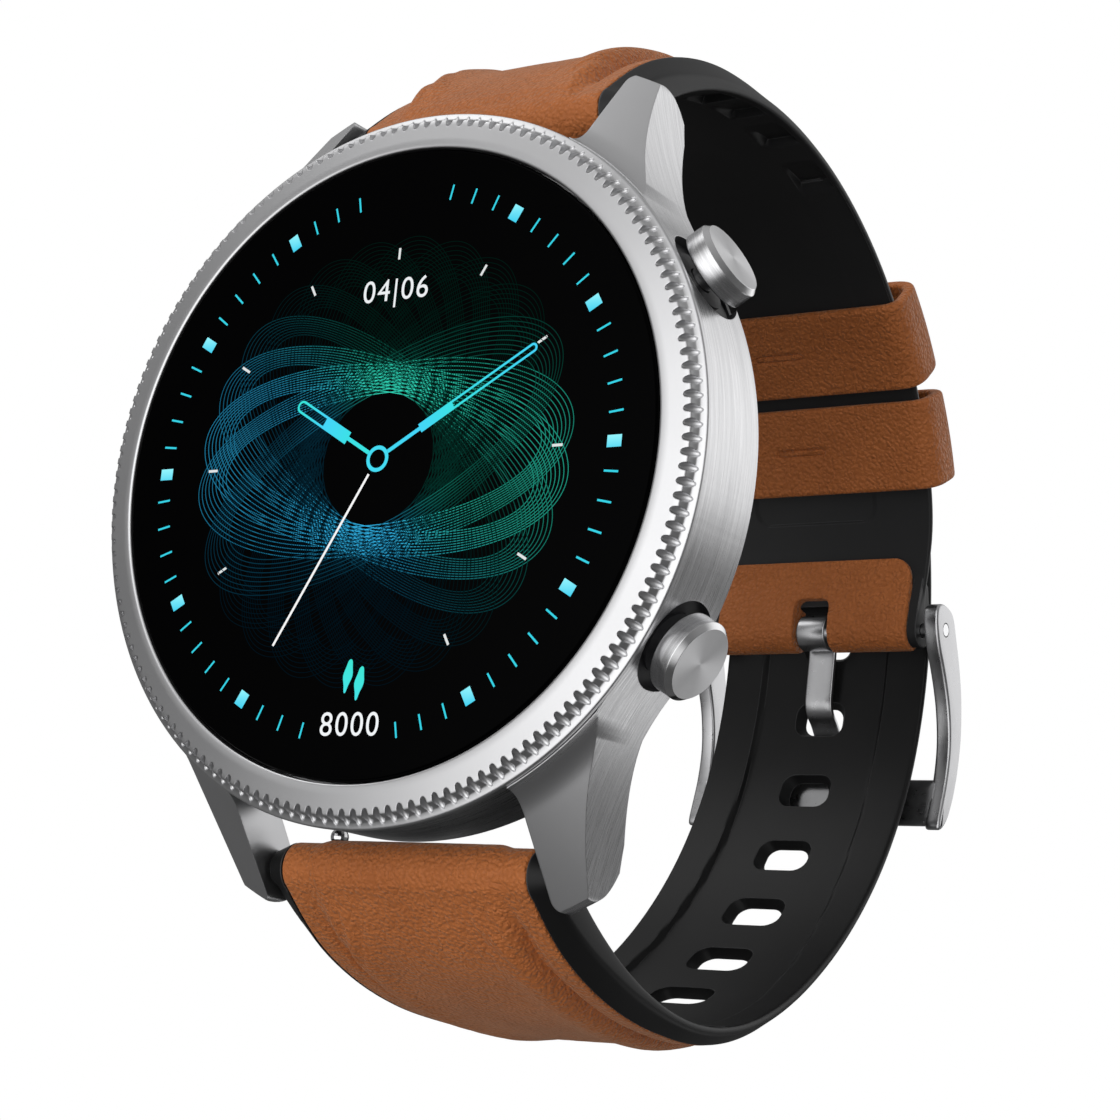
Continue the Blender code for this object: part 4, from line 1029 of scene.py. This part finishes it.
def draw_digits(name, text, height, x, z, tint):
    """Numbers from the built-in font, as a flat mesh."""
    curve = bpy.data.curves.new(name, "FONT")
    curve.body = text
    curve.size = height * MM * 1.38
    curve.align_x = "CENTER"
    curve.align_y = "CENTER"
    curve.space_character = 1.12
    guide = place(name + "_guide", curve)
    mesh = evaluated_mesh(guide)
    bpy.data.objects.remove(guide, do_unlink=True)
    upright = Matrix.Rotation(math.pi / 2, 4, "X")
    mesh.transform(Matrix.Translation((x * MM, -0.014 * MM, z * MM)) @ upright)
    tints = mesh.color_attributes.new("tint", "FLOAT_COLOR", "POINT")
    for item in tints.data:
        item.color = (*tint, 1.0)
    light_up(name, mesh)


def draw_steps_icon():
    """Two plain shoe soles, the left one higher."""
    art = Drawing("steps_icon", 0.012)
    for x, z in ((-0.46, -13.65), (0.46, -14.1)):
        sole = []
        for step in range(32):
            t = math.tau * step / 32
            length = 1.05 * math.sin(t)
            waist = 0.30 + 0.07 * length + 0.06 * math.cos(4.5 * length)
            sole.append((x + waist * math.cos(t) + 0.12 * length, z + length))
        art.polygon(sole, [mixed((0.05, 0.80, 0.66), TEAL, 0.5 - 0.5 * (height - z)) for _, height in sole])
    art.finish()


def dress_face():
    """Everything the display shows, as thin line work on the glass."""
    draw_rosette()
    draw_track()
    draw_hands()
    draw_digits("date_digits", "04|06", 1.5, 0.0, 10.9, (0.85, 0.88, 0.9))
    draw_digits("step_digits", "8000", 1.52, 0.05, -16.68, (0.9, 0.93, 0.95))
    draw_steps_icon()


# --- strap --------------------------------------------------------------------------------

def vent_relief(x, station):
    """Scale-shaped pockets along both edges: deep at their lower line, running out above it."""
    depth = 0.0
    for vent in VENT_STATIONS:
        if vent - 0.2 < station < vent + VENT_RUN:
            cut = smoothstep(-0.15, 0.15, station - vent) * (1 - (station - vent) / VENT_RUN)
            depth = max(depth, VENT_DEPTH * cut)
    inner, inner_full, outer_full, outer = VENT_BAND
    window = smoothstep(inner, inner_full, abs(x)) * (1 - smoothstep(outer_full, outer, abs(x)))
    return depth * window


def upper_relief(x, station):
    """Depth of the upper half's moulded inner face at x and station, in millimetres."""
    border = smoothstep(VENT_BAND[0], VENT_BAND[1], abs(x))
    step = 0.12 * border * smoothstep(40, 45, station) * (1 - smoothstep(71.2, 71.5, station))
    panel_arc = (station - 21.5) * math.radians(31.4)
    past_side = max(abs(x) - 4.1, 0.0)
    past_end = max(abs(panel_arc) - 0.9, 0.0)
    panel = 0.15 * (1 - smoothstep(1.1, 1.25, math.hypot(past_side, past_end)))
    return vent_relief(x, station) + step + panel


def lower_relief(x, station):
    """Depth of the lower half's inner face: a floor between two raised borders, and the pockets."""
    line = law(TAIL_RIM_LINE, station) / MM
    floor = 0.4 * (1 - smoothstep(line - 0.2, line + 0.05, abs(x))) * (1 - smoothstep(103, 106, station))
    return floor + vent_relief(x, station) * (1 if station > 80 else 0)


def base_ring(station, side, bed_depth, relief, columns, shrink=1.0):
    """Section of the silicone underlay with soft corners and its moulded inner face."""
    inner = law(INNER_RADIUS_UPPER if side > 0 else INNER_RADIUS_LOWER, station)
    wall = law(WALL_HEIGHT, max(station, 0))
    rim = law(RIM_HEIGHT_UPPER if side > 0 else RIM_HEIGHT_LOWER, station)
    bed = rim - bed_depth * MM
    half = half_width(station, side) * shrink
    slope = min(RIM_WIDTH, half * 0.4)
    lip = half - slope
    corners = [(-half, 0), (half, 0), (half, wall), (lip, rim), (lip - 0.02 * MM, bed),
               (0.02 * MM - lip, bed), (-lip, rim), (-half, wall)]
    radii = [value * MM for value in (0.22, 0.22, 0.25, 0.12, 0.04, 0.04, 0.12, 0.25)]
    section = rounded_section(corners, radii, (columns, 2, 3, 2, 10, 2, 3, 2))
    points = []
    for x, height in section:
        if abs(height) < TINY:
            height = relief(x / MM, station) * MM
        points.append(polar(station, inner + height, side, x))
    return points


def add_barrel(base, side):
    """Round end of the underlay, bored for the spring bar and slotted for its knob."""
    centre = PIVOTS[side]
    inner_x = STRAP_HALF_WIDTH - RIM_WIDTH
    combine(base, cross_rod("barrel", centre, inner_x, BARREL_RADIUS, 64), "UNION")
    for end in (1, -1):
        flange = rod("flange", centre + ACROSS * end * (inner_x - 0.02 * MM),
                     centre + ACROSS * end * (STRAP_HALF_WIDTH - 0.03 * MM), 1.65 * MM, 64, 1.15 * MM)
        combine(base, flange, "UNION")
    combine(base, cross_rod("bore", centre, THROUGH, SLEEVE_BORE_RADIUS, 32), "DIFFERENCE")
    slot = box("slot", (KNOB_X - 0.6 * MM, 0, -0.45 * MM),
               (KNOB_X + RELEASE_TRAVEL + 0.6 * MM, 3 * MM, 0.45 * MM))
    lean = Matrix.Rotation(side * math.radians(KNOB_ANGLE), 4, "X")
    slot.data.transform(Matrix.Translation(centre) @ lean)
    combine(base, slot, "DIFFERENCE")


def hull(points):
    """Convex outline round points of the YZ plane."""
    ordered = sorted(points, key=lambda point: (point.y, point.z))
    outline = []
    for run in (ordered, ordered[::-1]):
        chain = []
        for point in run:
            while len(chain) > 1 and (chain[-1] - chain[-2]).cross(point - chain[-1]).x <= 0:
                chain.pop()
            chain.append(point)
        outline += chain[:-1]
    return outline


def add_cheeks(base):
    """Side lips of the underlay that carry the buckle bar, either side of the leather's fold."""
    round_end = [BUCKLE_BAR + Vector((0, math.cos(a), math.sin(a))) * 1.3 * MM
                 for a in [math.radians(60 - 12 * step) for step in range(25)]]
    outline = hull(round_end + [polar(8.0, 32.3 * MM), polar(9.5, 31.45 * MM), polar(5.0, 30.5 * MM)])
    for end in (1, -1):
        cheek = prism("cheek", outline, ACROSS * end * CHEEK_INNER_X, ACROSS * end * CHEEK_OUTER_X)
        combine(base, cheek, "UNION")
    combine(base, cross_rod("bore", BUCKLE_BAR, THROUGH, BUCKLE_BORE_RADIUS, 32), "DIFFERENCE")


def dress_upper_base():
    """Upper half's silicone underlay, with finer stations along its pockets and its panel."""
    stations = (stations_between(LUG_STATION, 106.0, 1.6) + stations_between(105.7, 72.0, 0.3)
                + stations_between(71.0, 25.0, 1.6) + stations_between(24.7, 17.0, 0.3)
                + stations_between(16.0, 5.6, 1.4))
    rings = [base_ring(s, 1, BED_DEPTH, upper_relief, 110) for s in stations]
    base = loft("upper_silicone_underlay", rings)
    add_barrel(base, 1)
    add_cheeks(base)
    own(base, SILICONE, "upper_strap", "rubber", "upper_strap_base")


def cut_holes(base):
    """Adjustment holes through the tail, square to it, narrowing towards the outside."""
    for station in HOLE_STATIONS:
        mouths = ((31.0, 5.0, 3.2, 1.2), (32.9, 5.0, 3.2, 1.2), (34.5, 2.9, 2.0, 0.8), (36.0, 2.9, 2.0, 0.8))
        rings = []
        for reach, width, height, corner in mouths:
            outline = rounded_rectangle(width * MM, height * MM, corner * MM)
            rings.append([point + Vector((0, 0, reach * MM)) for point in outline])
        cutter = loft("hole", rings)
        cutter.data.transform(Matrix.Translation(LOOP_CENTRE)
                              @ Matrix.Rotation(-math.radians(90 + station), 4, "X"))
        combine(base, cutter, "DIFFERENCE")


def tip_shrink(station):
    """Width factor that rounds the tail's tip off."""
    reach = min(max((station - TAIL_TIP_STATION + 0.4) / 9.0, 0.0), 1.0)
    return math.sqrt(max(1 - (1 - reach) ** 2, 0.0))


def dress_lower_base():
    """Lower half's silicone underlay out to the tail's tip, with its adjustment holes."""
    stations = (stations_between(LUG_STATION, 106.0, 1.6) + stations_between(105.7, 82.0, 0.3)
                + stations_between(81.5, LEATHER_TIP_STATION + 0.5, 1.0)
                + stations_between(LEATHER_TIP_STATION, LEATHER_TIP_STATION - 3.0, 0.5)
                + stations_between(69.0, TAIL_TIP_STATION + 9.0, 1.8)
                + stations_between(TAIL_TIP_STATION + 8.4, TAIL_TIP_STATION, 0.6))
    rings = []
    for s in stations:
        bed = 0.1 + (BED_DEPTH - 0.1) * smoothstep(0, 1, (s - (LEATHER_TIP_STATION - 2.5)) / 2.0)
        rings.append(base_ring(s, -1, bed, lower_relief, 90, tip_shrink(s)))
    base = loft("lower_silicone_underlay", rings)
    add_barrel(base, -1)
    cut_holes(base)
    # The lower half takes the darker copy of the silicone, which is painted shade.
    own(base, SHADED_TAIL_SILICONE, "lower_strap", "rubber", "lower_strap_base")


def ridge(offset, width):
    """Height of a soft ridge of unit height, at an offset from its crest."""
    return math.exp(-(offset / width) ** 2)


def fold_depth(inset, run):
    """Two creases that lean inwards from the leather's edge band near the lug."""
    depth = 0.0
    for start_inset, lean, deepest in ((1.9, 0.30, 0.26), (2.6, 0.5, 0.14)):
        line = start_inset + lean * max(7.5 - run, 0.0)
        depth += deepest * ridge(inset - line, 0.3) * ridge(run - 5.0, 2.6)
    return depth


def pad_height(x, half, crown, run, side):
    """Leather above its rim: a flat edge band, a pinched valley, a roll and the padded middle."""
    inset = half - abs(x)
    fade = smoothstep(0.5, 5, run)
    swell = smoothstep(1.9, 3.0, inset)
    roll = 0.27 * ridge(inset - 3.4, 1.2) * fade
    if side > 0 and x < 0:
        roll = 0.55 * ridge(inset - 2.9, 1.7) * smoothstep(0, 3, run)
    height = crown * swell * (1 - 0.08 * (x / half) ** 2) + roll
    valley = 0.66 * ridge(inset - 1.85, 0.36) * fade * (1.0 if x > 0 else 0.4)
    slow = noise.noise(Vector((x * 0.25, run * 0.3, side * 3.7)))
    quick = noise.noise(Vector((x * 0.9, run * 0.8, side * 9.1)))
    wave = (0.05 * slow + 0.02 * quick) * swell * smoothstep(0, 2, run)
    return height - (valley + fold_depth(inset, run)) * (1 + 0.4 * slow) + wave


def leather_section(half, bottom, top, crown, run, side):
    """Section of the leather from its flat back to its padded top."""
    corners = [(-half, bottom), (half, bottom), (half, top), (-half, top)]
    radii = [0.04 * MM, 0.04 * MM, 0.28 * MM, 0.28 * MM]
    section = rounded_section(corners, radii, (8, 1, 110, 1))
    points = []
    for x, height in section:
        if height > top - 0.01 * MM:
            height = top + pad_height(x / MM, half / MM, crown / MM, run, side) * MM
        points.append((x, height))
    return points


def dress_strap_leather(side, name, body, end_station, node):
    """Leather from under the spring bar, round its barrel and along the strap's bed."""
    inner_law = INNER_RADIUS_UPPER if side > 0 else INNER_RADIUS_LOWER
    rim_law = RIM_HEIGHT_UPPER if side > 0 else RIM_HEIGHT_LOWER
    crown_law = CROWN_UPPER if side > 0 else CROWN_LOWER
    rings = []
    wrap_half = STRAP_HALF_WIDTH - RIM_WIDTH - 2 * SKIN_GAP
    for angle in stations_between(277.0, LUG_STATION + 10, 5.0):
        section = leather_section(wrap_half, BARREL_RADIUS + SKIN_GAP, 1.68 * MM, 0.2 * MM, 0.0, side)
        rings.append([around_pivot(angle, reach, side, x) for x, reach in section])
    for station in stations_between(LUG_STATION - 0.6, end_station, 0.8):
        rim = law(inner_law, station) + law(rim_law, station)
        bottom = rim + SKIN_GAP - BED_DEPTH * MM
        half = half_width(station, side) - RIM_WIDTH - 2 * SKIN_GAP
        run = math.radians(LUG_STATION - station) * 33
        section = leather_section(half, bottom, rim, law(crown_law, station), run, side)
        rings.append([polar(station, radius, side, x) for x, radius in section])
    own(loft(name, rings), LEATHER, body, "leather", node)


def keeper_path(inset, dense):
    """Closed path round a keeper in (x, radius), set in from its outer face."""
    half = KEEPER_HALF_WIDTH - inset
    low, high = KEEPER_INNER + inset, KEEPER_OUTER - inset
    corners = [(-half, low), (half, low), (half, high), (-half, high)]
    radii = [corner - inset for corner in (1.8 * MM, 1.8 * MM, 2.5 * MM, 2.5 * MM)]
    return rounded_section(corners, radii, (dense, 4, 40, 4), 12)


def dress_keeper(name, body, node, start, end):
    """Leather band bent round the strap, its free end let in with a small pressed slot."""
    middle = (start + end) / 2
    reach = math.radians((end - start) / 2) * (KEEPER_INNER + KEEPER_WALL / 2)
    outer = keeper_path(0.0, 120)
    inner = keeper_path(KEEPER_WALL, 120)
    rings = []
    for outside, inside in zip(outer, inner):
        corners = [(-reach, 0), (reach, 0), (reach, 1), (-reach, 1)]
        flat = [(u, v * KEEPER_WALL) for u, v in corners]
        ring = []
        for u, v in rounded_section(flat, [0.36 * MM] * 4, (56, 1, 14, 1)):
            depth = v
            if v < TINY and outside[1] < KEEPER_INNER + TINY:
                depth += slot_mark(outside[0] / MM, u / MM) * MM
            share = depth / KEEPER_WALL
            x = outside[0] + (inside[0] - outside[0]) * share
            radius = outside[1] + (inside[1] - outside[1]) * share
            bulge = 0.1 * MM * (1 - (u / reach) ** 2) * (1 - share)
            radius += -bulge if radius < (KEEPER_INNER + KEEPER_OUTER) / 2 else bulge * 0.5
            station = middle + math.degrees(u / radius)
            ring.append(polar(station, radius, 1, x))
        rings.append(ring)
    own(loft(name, rings, closed=True), LEATHER, body, "leather", node)


def slot_mark(x, u):
    """Depth of the pressed outline of a short slot, four millimetres long."""
    reach = max(abs(x) - 1.8, 0.0)
    distance = abs(math.hypot(reach, u) - 0.24)
    return 0.16 * (1 - smoothstep(0.05, 0.15, distance))


def soften(obj, voxel, rounds):
    """Round a solid's edges the way folded leather rounds them."""
    remesh = obj.modifiers.new("remesh", "REMESH")
    remesh.mode = "VOXEL"
    remesh.voxel_size = voxel
    smooth = obj.modifiers.new("smooth", "SMOOTH")
    smooth.factor = 0.5
    smooth.iterations = rounds
    bake(obj)


def bar_fold():
    """Outer line of the leather where it turns round the buckle bar, tighter behind the bar."""
    line = []
    for step in range(33):
        a = math.radians(60 - 7.5 * step)
        depth = 1.38 * MM if math.cos(a) > 0 else 1.58 * MM
        line.append(BUCKLE_BAR + Vector((0, math.cos(a) * depth, math.sin(a) * 1.58 * MM)))
    return line


def strap_window(name, width, corner, centre_z):
    """Rounded cutter through the back of the strap loop, seen square from behind."""
    cutter = prism(name, rounded_rectangle(width, 16 * MM, corner), (0, 0, 50 * MM), (0, 0, 62 * MM))
    upright = Matrix.Rotation(-math.pi / 2, 4, "X")
    cutter.data.transform(Matrix.Translation((0, 0, centre_z)) @ upright)
    return cutter


def dress_buckle_end():
    """Leather turned round the buckle bar, notched for the tongue and waisted between the cheeks."""
    seat = law(INNER_RADIUS_UPPER, 8.0) - SKIN_GAP
    inner_skin = [(12.2, 30.85), (9.0, 30.6), (6.0, 30.2), (3.6, 29.95)]
    skin = [polar(s, r * MM) for s, r in reversed(inner_skin)]
    back = [polar(12.2, seat), polar(8.0, seat), polar(5.3, seat), polar(5.0, 32.4 * MM)]
    half = CHEEK_INNER_X - 0.05 * MM
    reach = ACROSS * half * 1.1
    end = prism("buckle_fold_leather", bar_fold() + skin + back, -reach, reach)
    combine(end, strap_window("plan", 2 * half, 1.4 * MM, FOLD_TOP_Z - 8 * MM), "INTERSECT")
    combine(end, strap_window("notch", 3.1 * MM, 0.7 * MM, -4.55 * MM), "DIFFERENCE")
    combine(end, cross_rod("bore", BUCKLE_BAR, THROUGH, 0.6 * MM, 32), "DIFFERENCE")
    soften(end, 0.13 * MM, 5)
    own(end, LEATHER, "upper_strap", "leather", "buckle_end_leather")


# --- buckle -------------------------------------------------------------------------------

def smooth_outline(points):
    """Closed curve through points, rounder than its corners."""
    per_span = 4
    count = len(points)
    line = []
    for index in range(count):
        before, here = points[index - 1], points[index]
        after, beyond = points[(index + 1) % count], points[(index + 2) % count]
        line += [curve_between(before, here, after, beyond, step / per_span) for step in range(per_span)]
    return line


def arm_outline():
    """Side view of a buckle arm, from the eye on the bar out to the end plate."""
    outer = [(5.3, 31.1), (4.7, 32.3), (3.6, 33.0), (0.7, 33.7), (-2.0, 34.4), (-5.3, 35.2), (-8.0, 35.7),
             (-11.2, 36.2), (-14.7, 36.5), (-18.2, 36.65), (-21.3, 36.55), (-23.1, 36.2), (-24.0, 35.7)]
    inner = [(-23.4, 35.3), (-21.0, 35.1), (-18.0, 34.95), (-14.8, 34.65), (-12.1, 34.2), (-9.1, 33.45),
             (-6.5, 32.6), (-3.9, 31.65), (-1.2, 30.65), (1.4, 30.05), (3.4, 29.9), (4.8, 30.2)]
    return smooth_outline([polar(s, r * MM) for s, r in outer + inner])


def rounded_slab(name, outline, near_x, far_x, edge):
    """Slab across X whose outline draws in towards both faces over a quarter-round edge."""
    count = len(outline)
    middle = sum(outline, Vector()) / count
    turn = sum((outline[i] - middle).cross(outline[(i + 1) % count] - middle).x for i in range(count))
    inward = []
    for index in range(count):
        along = (outline[(index + 1) % count] - outline[index - 1]).normalized()
        inward.append(Vector((math.copysign(1.0, turn), 0, 0)).cross(along))
    profile = [math.radians(90 * step / 5) for step in range(6)]
    layers = [(near_x + edge * (1 - math.sin(a)), edge * (1 - math.cos(a))) for a in reversed(profile)]
    layers += [(far_x - edge * (1 - math.sin(a)), edge * (1 - math.cos(a))) for a in profile]
    rings = []
    for x, inset in layers:
        rings.append([Vector((x, 0, 0)) + point + side * inset for point, side in zip(outline, inward)])
    return loft(name, rings)


def dress_buckle():
    """Buckle frame: two rounded arms bored for the bar, and the end plate between them."""
    outline = arm_outline()
    for name, near_x, far_x in (("buckle_arm_right", ARM_INNER_X, ARM_OUTER_X),
                                ("buckle_arm_left", -ARM_OUTER_X, -ARM_INNER_X)):
        arm = rounded_slab(name, outline, near_x, far_x, ARM_EDGE)
        eye = cross_rod("eye", BUCKLE_BAR, THROUGH, 0.56 * MM, 48)
        combine(arm, eye, "DIFFERENCE", crossing=True)
        own(arm, FINE_SATIN, "buckle", "polished_steel", "buckle_frame")
    section = [(-17.6, 35.0), (-17.6, 36.3), (-20.6, 36.4), (-23.0, 36.0), (-23.4, 35.4), (-20.6, 35.1)]
    plate_outline = smooth_outline([polar(s, r * MM) for s, r in section])
    reach = Vector((ARM_INNER_X + 0.3 * MM, 0, 0))
    plate = prism("buckle_end_plate", plate_outline, -reach, reach)
    seat = box("seat", (-1.35 * MM, -2 * MM, 0), (1.35 * MM, 2 * MM, 3 * MM))
    seat.data.transform(Matrix.Translation(polar(-20.8, 35.85 * MM))
                        @ Matrix.Rotation(math.radians(-90 - 20.8), 4, "X"))
    combine(plate, seat, "DIFFERENCE")
    own(plate, FINE_SATIN, "buckle", "polished_steel", "buckle_frame")


def tongue_line():
    """Middle line of the tongue from its loop, inside the tail, out through a hole to the plate."""
    stops = ((2.0, 32.58), (0.0, 32.6), (-2.0, 32.62), (-6.0, 32.68), (-8.1, 32.85), (-9.4, 33.4),
             (-10.3, 34.3), (-11.8, 35.3), (-14.5, 36.0), (-18.0, 36.25), (-22.3, 36.15))
    points = [polar(s, r * MM) for s, r in stops]
    padded = [points[0] * 2 - points[1]] + points + [points[-1] * 2 - points[-2]]
    line = []
    for index in range(1, len(padded) - 2):
        before, here, after, beyond = padded[index - 1:index + 3]
        line += [curve_between(before, here, after, beyond, step / 5) for step in range(5)]
    line.append(points[-1])
    return line


def tongue_rings():
    """Flat sections with soft corners along the tongue's middle line."""
    line = tongue_line()
    half, thick = 1.17 * MM, 0.42 * MM
    corners = [(-half, -thick / 2), (half, -thick / 2), (half, thick / 2), (-half, thick / 2)]
    section = rounded_section(corners, [0.14 * MM] * 4, (4, 1, 4, 1))
    rings = []
    for index, point in enumerate(line):
        ahead = line[min(index + 1, len(line) - 1)]
        behind = line[max(index - 1, 0)]
        normal = (ahead - behind).cross(ACROSS).normalized()
        rings.append([point + ACROSS * u + normal * v for u, v in section])
    return rings


def dress_tongue():
    """Buckle tongue: a flat pin on a round loop that turns on the bar."""
    tongue = loft("buckle_pin_tongue", tongue_rings())
    loop = cross_rod("loop", BUCKLE_BAR, 1.22 * MM, 1.42 * MM, 64)
    bevel = loop.modifiers.new("edge", "BEVEL")
    bevel.width = 0.12 * MM
    bevel.segments = 3
    bevel.limit_method = "ANGLE"
    bevel.angle_limit = math.radians(60)
    bake(loop)
    combine(tongue, loop, "UNION")
    combine(tongue, cross_rod("eye", BUCKLE_BAR, 3 * MM, BUCKLE_BORE_RADIUS, 32), "DIFFERENCE")
    own(tongue, FINE_SATIN, "tongue", "polished_steel", "buckle_tongue")


# --- carried-over nodes, stage and camera ---------------------------------------------------

def dress_bar_spring(name):
    """Coil in a spring bar's tube, squeezed between the sliding release pin and the fixed pin."""
    node = frame["nodes"]["%s_bar_spring" % name]
    mesh = node.data.copy()
    mesh.transform(node.matrix_world)
    spring = place("%s_bar_coil" % name, mesh)
    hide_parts(node.name)
    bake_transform(spring)


def finish_cad_nodes():
    """Finishes for the CAD nodes that stay; the button bushings take dark plastic as painted shade in the
    button pockets.
    """
    finishes = {"steel": SATIN, "polished_steel": POLISHED, "glass": GLASS, "plastic": PLASTIC,
                "board": BOARD, "foil": FOIL, "gold": GOLD, "rubber": SILICONE, "leather": LEATHER}
    for name, node in frame["nodes"].items():
        # Painted shade: the bushings in the button pockets take dark plastic in place of their own finish.
        shaded_bushing = name.endswith("_button_bushing")
        node.data.materials.clear()
        node.data.materials.append(PLASTIC if shaded_bushing else finishes[SLOTS[name]])
        node.data.shade_smooth()
        node.data.set_sharp_from_angle(angle=math.radians(CAD_SHARP_ANGLE))


def studio_glow(studio, direction, azimuth, elevation, outer, inner, radiance):
    """Soft-edged bright patch of the surround: full inside one angle, gone outside the other."""
    a, e = math.radians(azimuth), math.radians(elevation)
    middle = (math.sin(a) * math.cos(e), -math.cos(a) * math.cos(e), math.sin(e))
    facing = studio.vector_maths("DOT_PRODUCT", direction, middle)
    edge = [math.cos(math.radians(angle)) for angle in (outer, inner)]
    return studio.ramp(facing, 0.0, radiance, *edge, "SMOOTHSTEP")


def studio_light(studio, direction, height):
    """Brightness of the lighting surround in every direction."""
    total = studio.maths("ADD", studio.ramp(height, SURROUND_BELOW, SURROUND_LEVEL, -1.0, 0.0),
                         studio.ramp(height, 0.0, SURROUND_ABOVE - SURROUND_LEVEL))
    for patch in (FRONT_PATCH, LOW_BACK_PATCH, HIGH_LEFT_PATCH):
        total = studio.maths("ADD", total, studio_glow(studio, direction, *patch))
    cut_off = studio.ramp(height, 0.0, 1.0, *BACK_PATCH_EDGE)
    back = studio.maths("MULTIPLY", studio_glow(studio, direction, *BACK_PATCH), cut_off)
    return studio.maths("ADD", total, back)


def light_studio():
    """White backdrop for the eye, and a dim surround with soft bright patches for the lighting."""
    world = bpy.data.worlds.new("studio")
    bpy.context.scene.world = world
    world.use_nodes = True
    studio = Nodes(world.node_tree)
    seen = world.node_tree.nodes["Background"]
    studio.plug(seen.inputs["Color"], (1.0, 1.0, 1.0))
    direction = studio.add("TexCoord").outputs["Generated"]
    height = studio.add("SeparateXYZ", {0: direction}).outputs["Z"]
    lit = studio.add("Background", {"Color": (1.0, 1.0, 1.0),
                                    "Strength": studio_light(studio, direction, height)})
    to_camera = studio.add("LightPath").outputs["Is Camera Ray"]
    mix = studio.add("MixShader", {0: to_camera, 1: lit.outputs[0], 2: seen.outputs[0]})
    studio.plug(world.node_tree.nodes["World Output"].inputs["Surface"], mix.outputs[0])


def lay_floor():
    """Pale floor below the reach of the opened strap, melting into the white backdrop away from it."""
    bm = bmesh.new()
    bmesh.ops.create_grid(bm, x_segments=1, y_segments=1, size=3.0)
    mesh = bpy.data.meshes.new("floor")
    bm.to_mesh(mesh)
    bm.free()
    floor = place("floor", mesh)
    floor.location.z = CAD_BOX[0].z - FLOOR_DROP
    floor.visible_glossy = False
    floor.visible_diffuse = False
    floor.visible_shadow = False
    look = Finish("pale_floor", roughness=0.7)
    offset = look.vector_maths("SUBTRACT", look.position, tuple(LOOP_CENTRE / MM))
    far = look.ramp(look.vector_maths("LENGTH", offset), 0.0, 1.0, *FLOOR_FADE, "SMOOTHSTEP")
    look.feed("Base Color", look.mix(far, (0.88, 0.88, 0.88), (0.0, 0.0, 0.0)))
    look.feed("Specular IOR Level", 0.0)
    look.feed("Emission Color", (1.0, 1.0, 1.0))
    look.feed("Emission Strength", look.ramp(far, 0.45, 1.0))
    mesh.materials.append(look.material)


def place_camera():
    """Camera in front, to the right and slightly below, level turned a few degrees."""
    azimuth, elevation, roll = (math.radians(angle) for angle in CAMERA_ANGLES)
    shift_x, shift_z = CAMERA_SHIFT
    back = Vector((math.sin(azimuth) * math.cos(elevation), -math.cos(azimuth) * math.cos(elevation),
                   math.sin(elevation)))
    level = Vector((0, 0, 1)).cross(back).normalized()
    rise = back.cross(level)
    right = math.cos(roll) * level + math.sin(roll) * rise
    up = math.cos(roll) * rise - math.sin(roll) * level
    data = bpy.data.cameras.new("camera")
    data.sensor_width = 36.0
    data.lens = CAMERA_LENS
    data.clip_start = 0.001
    data.clip_end = 20.0
    camera = place("camera", data)
    location = back * CAMERA_DISTANCE - right * shift_x - up * shift_z
    camera.matrix_world = Matrix(((right.x, up.x, back.x, location.x),
                                  (right.y, up.y, back.y, location.y),
                                  (right.z, up.z, back.z, location.z), (0, 0, 0, 1)))
    bpy.context.scene.camera = camera
    bpy.context.scene.view_settings.view_transform = "Standard"


finish_cad_nodes()
dress_case()
dress_bezel()
for button in BUTTON_ANGLES:
    dress_button(button)
dress_face()
dress_upper_base()
dress_lower_base()
dress_strap_leather(1, "upper_padded_leather", "upper_strap", 6.2, "upper_strap_leather")
dress_strap_leather(-1, "lower_padded_leather", "lower_strap", LEATHER_TIP_STATION + 1.0,
                    "lower_strap_leather")
dress_keeper("fixed_keeper_band", "upper_strap", "fixed_keeper", 22.1, 35.2)
dress_keeper("sliding_keeper_band", "sliding_keeper", "sliding_keeper", 37.2, 50.4)
dress_buckle_end()
dress_buckle()
dress_tongue()
for half in ("upper", "lower"):
    dress_bar_spring(half)
light_studio()
lay_floor()
place_camera()
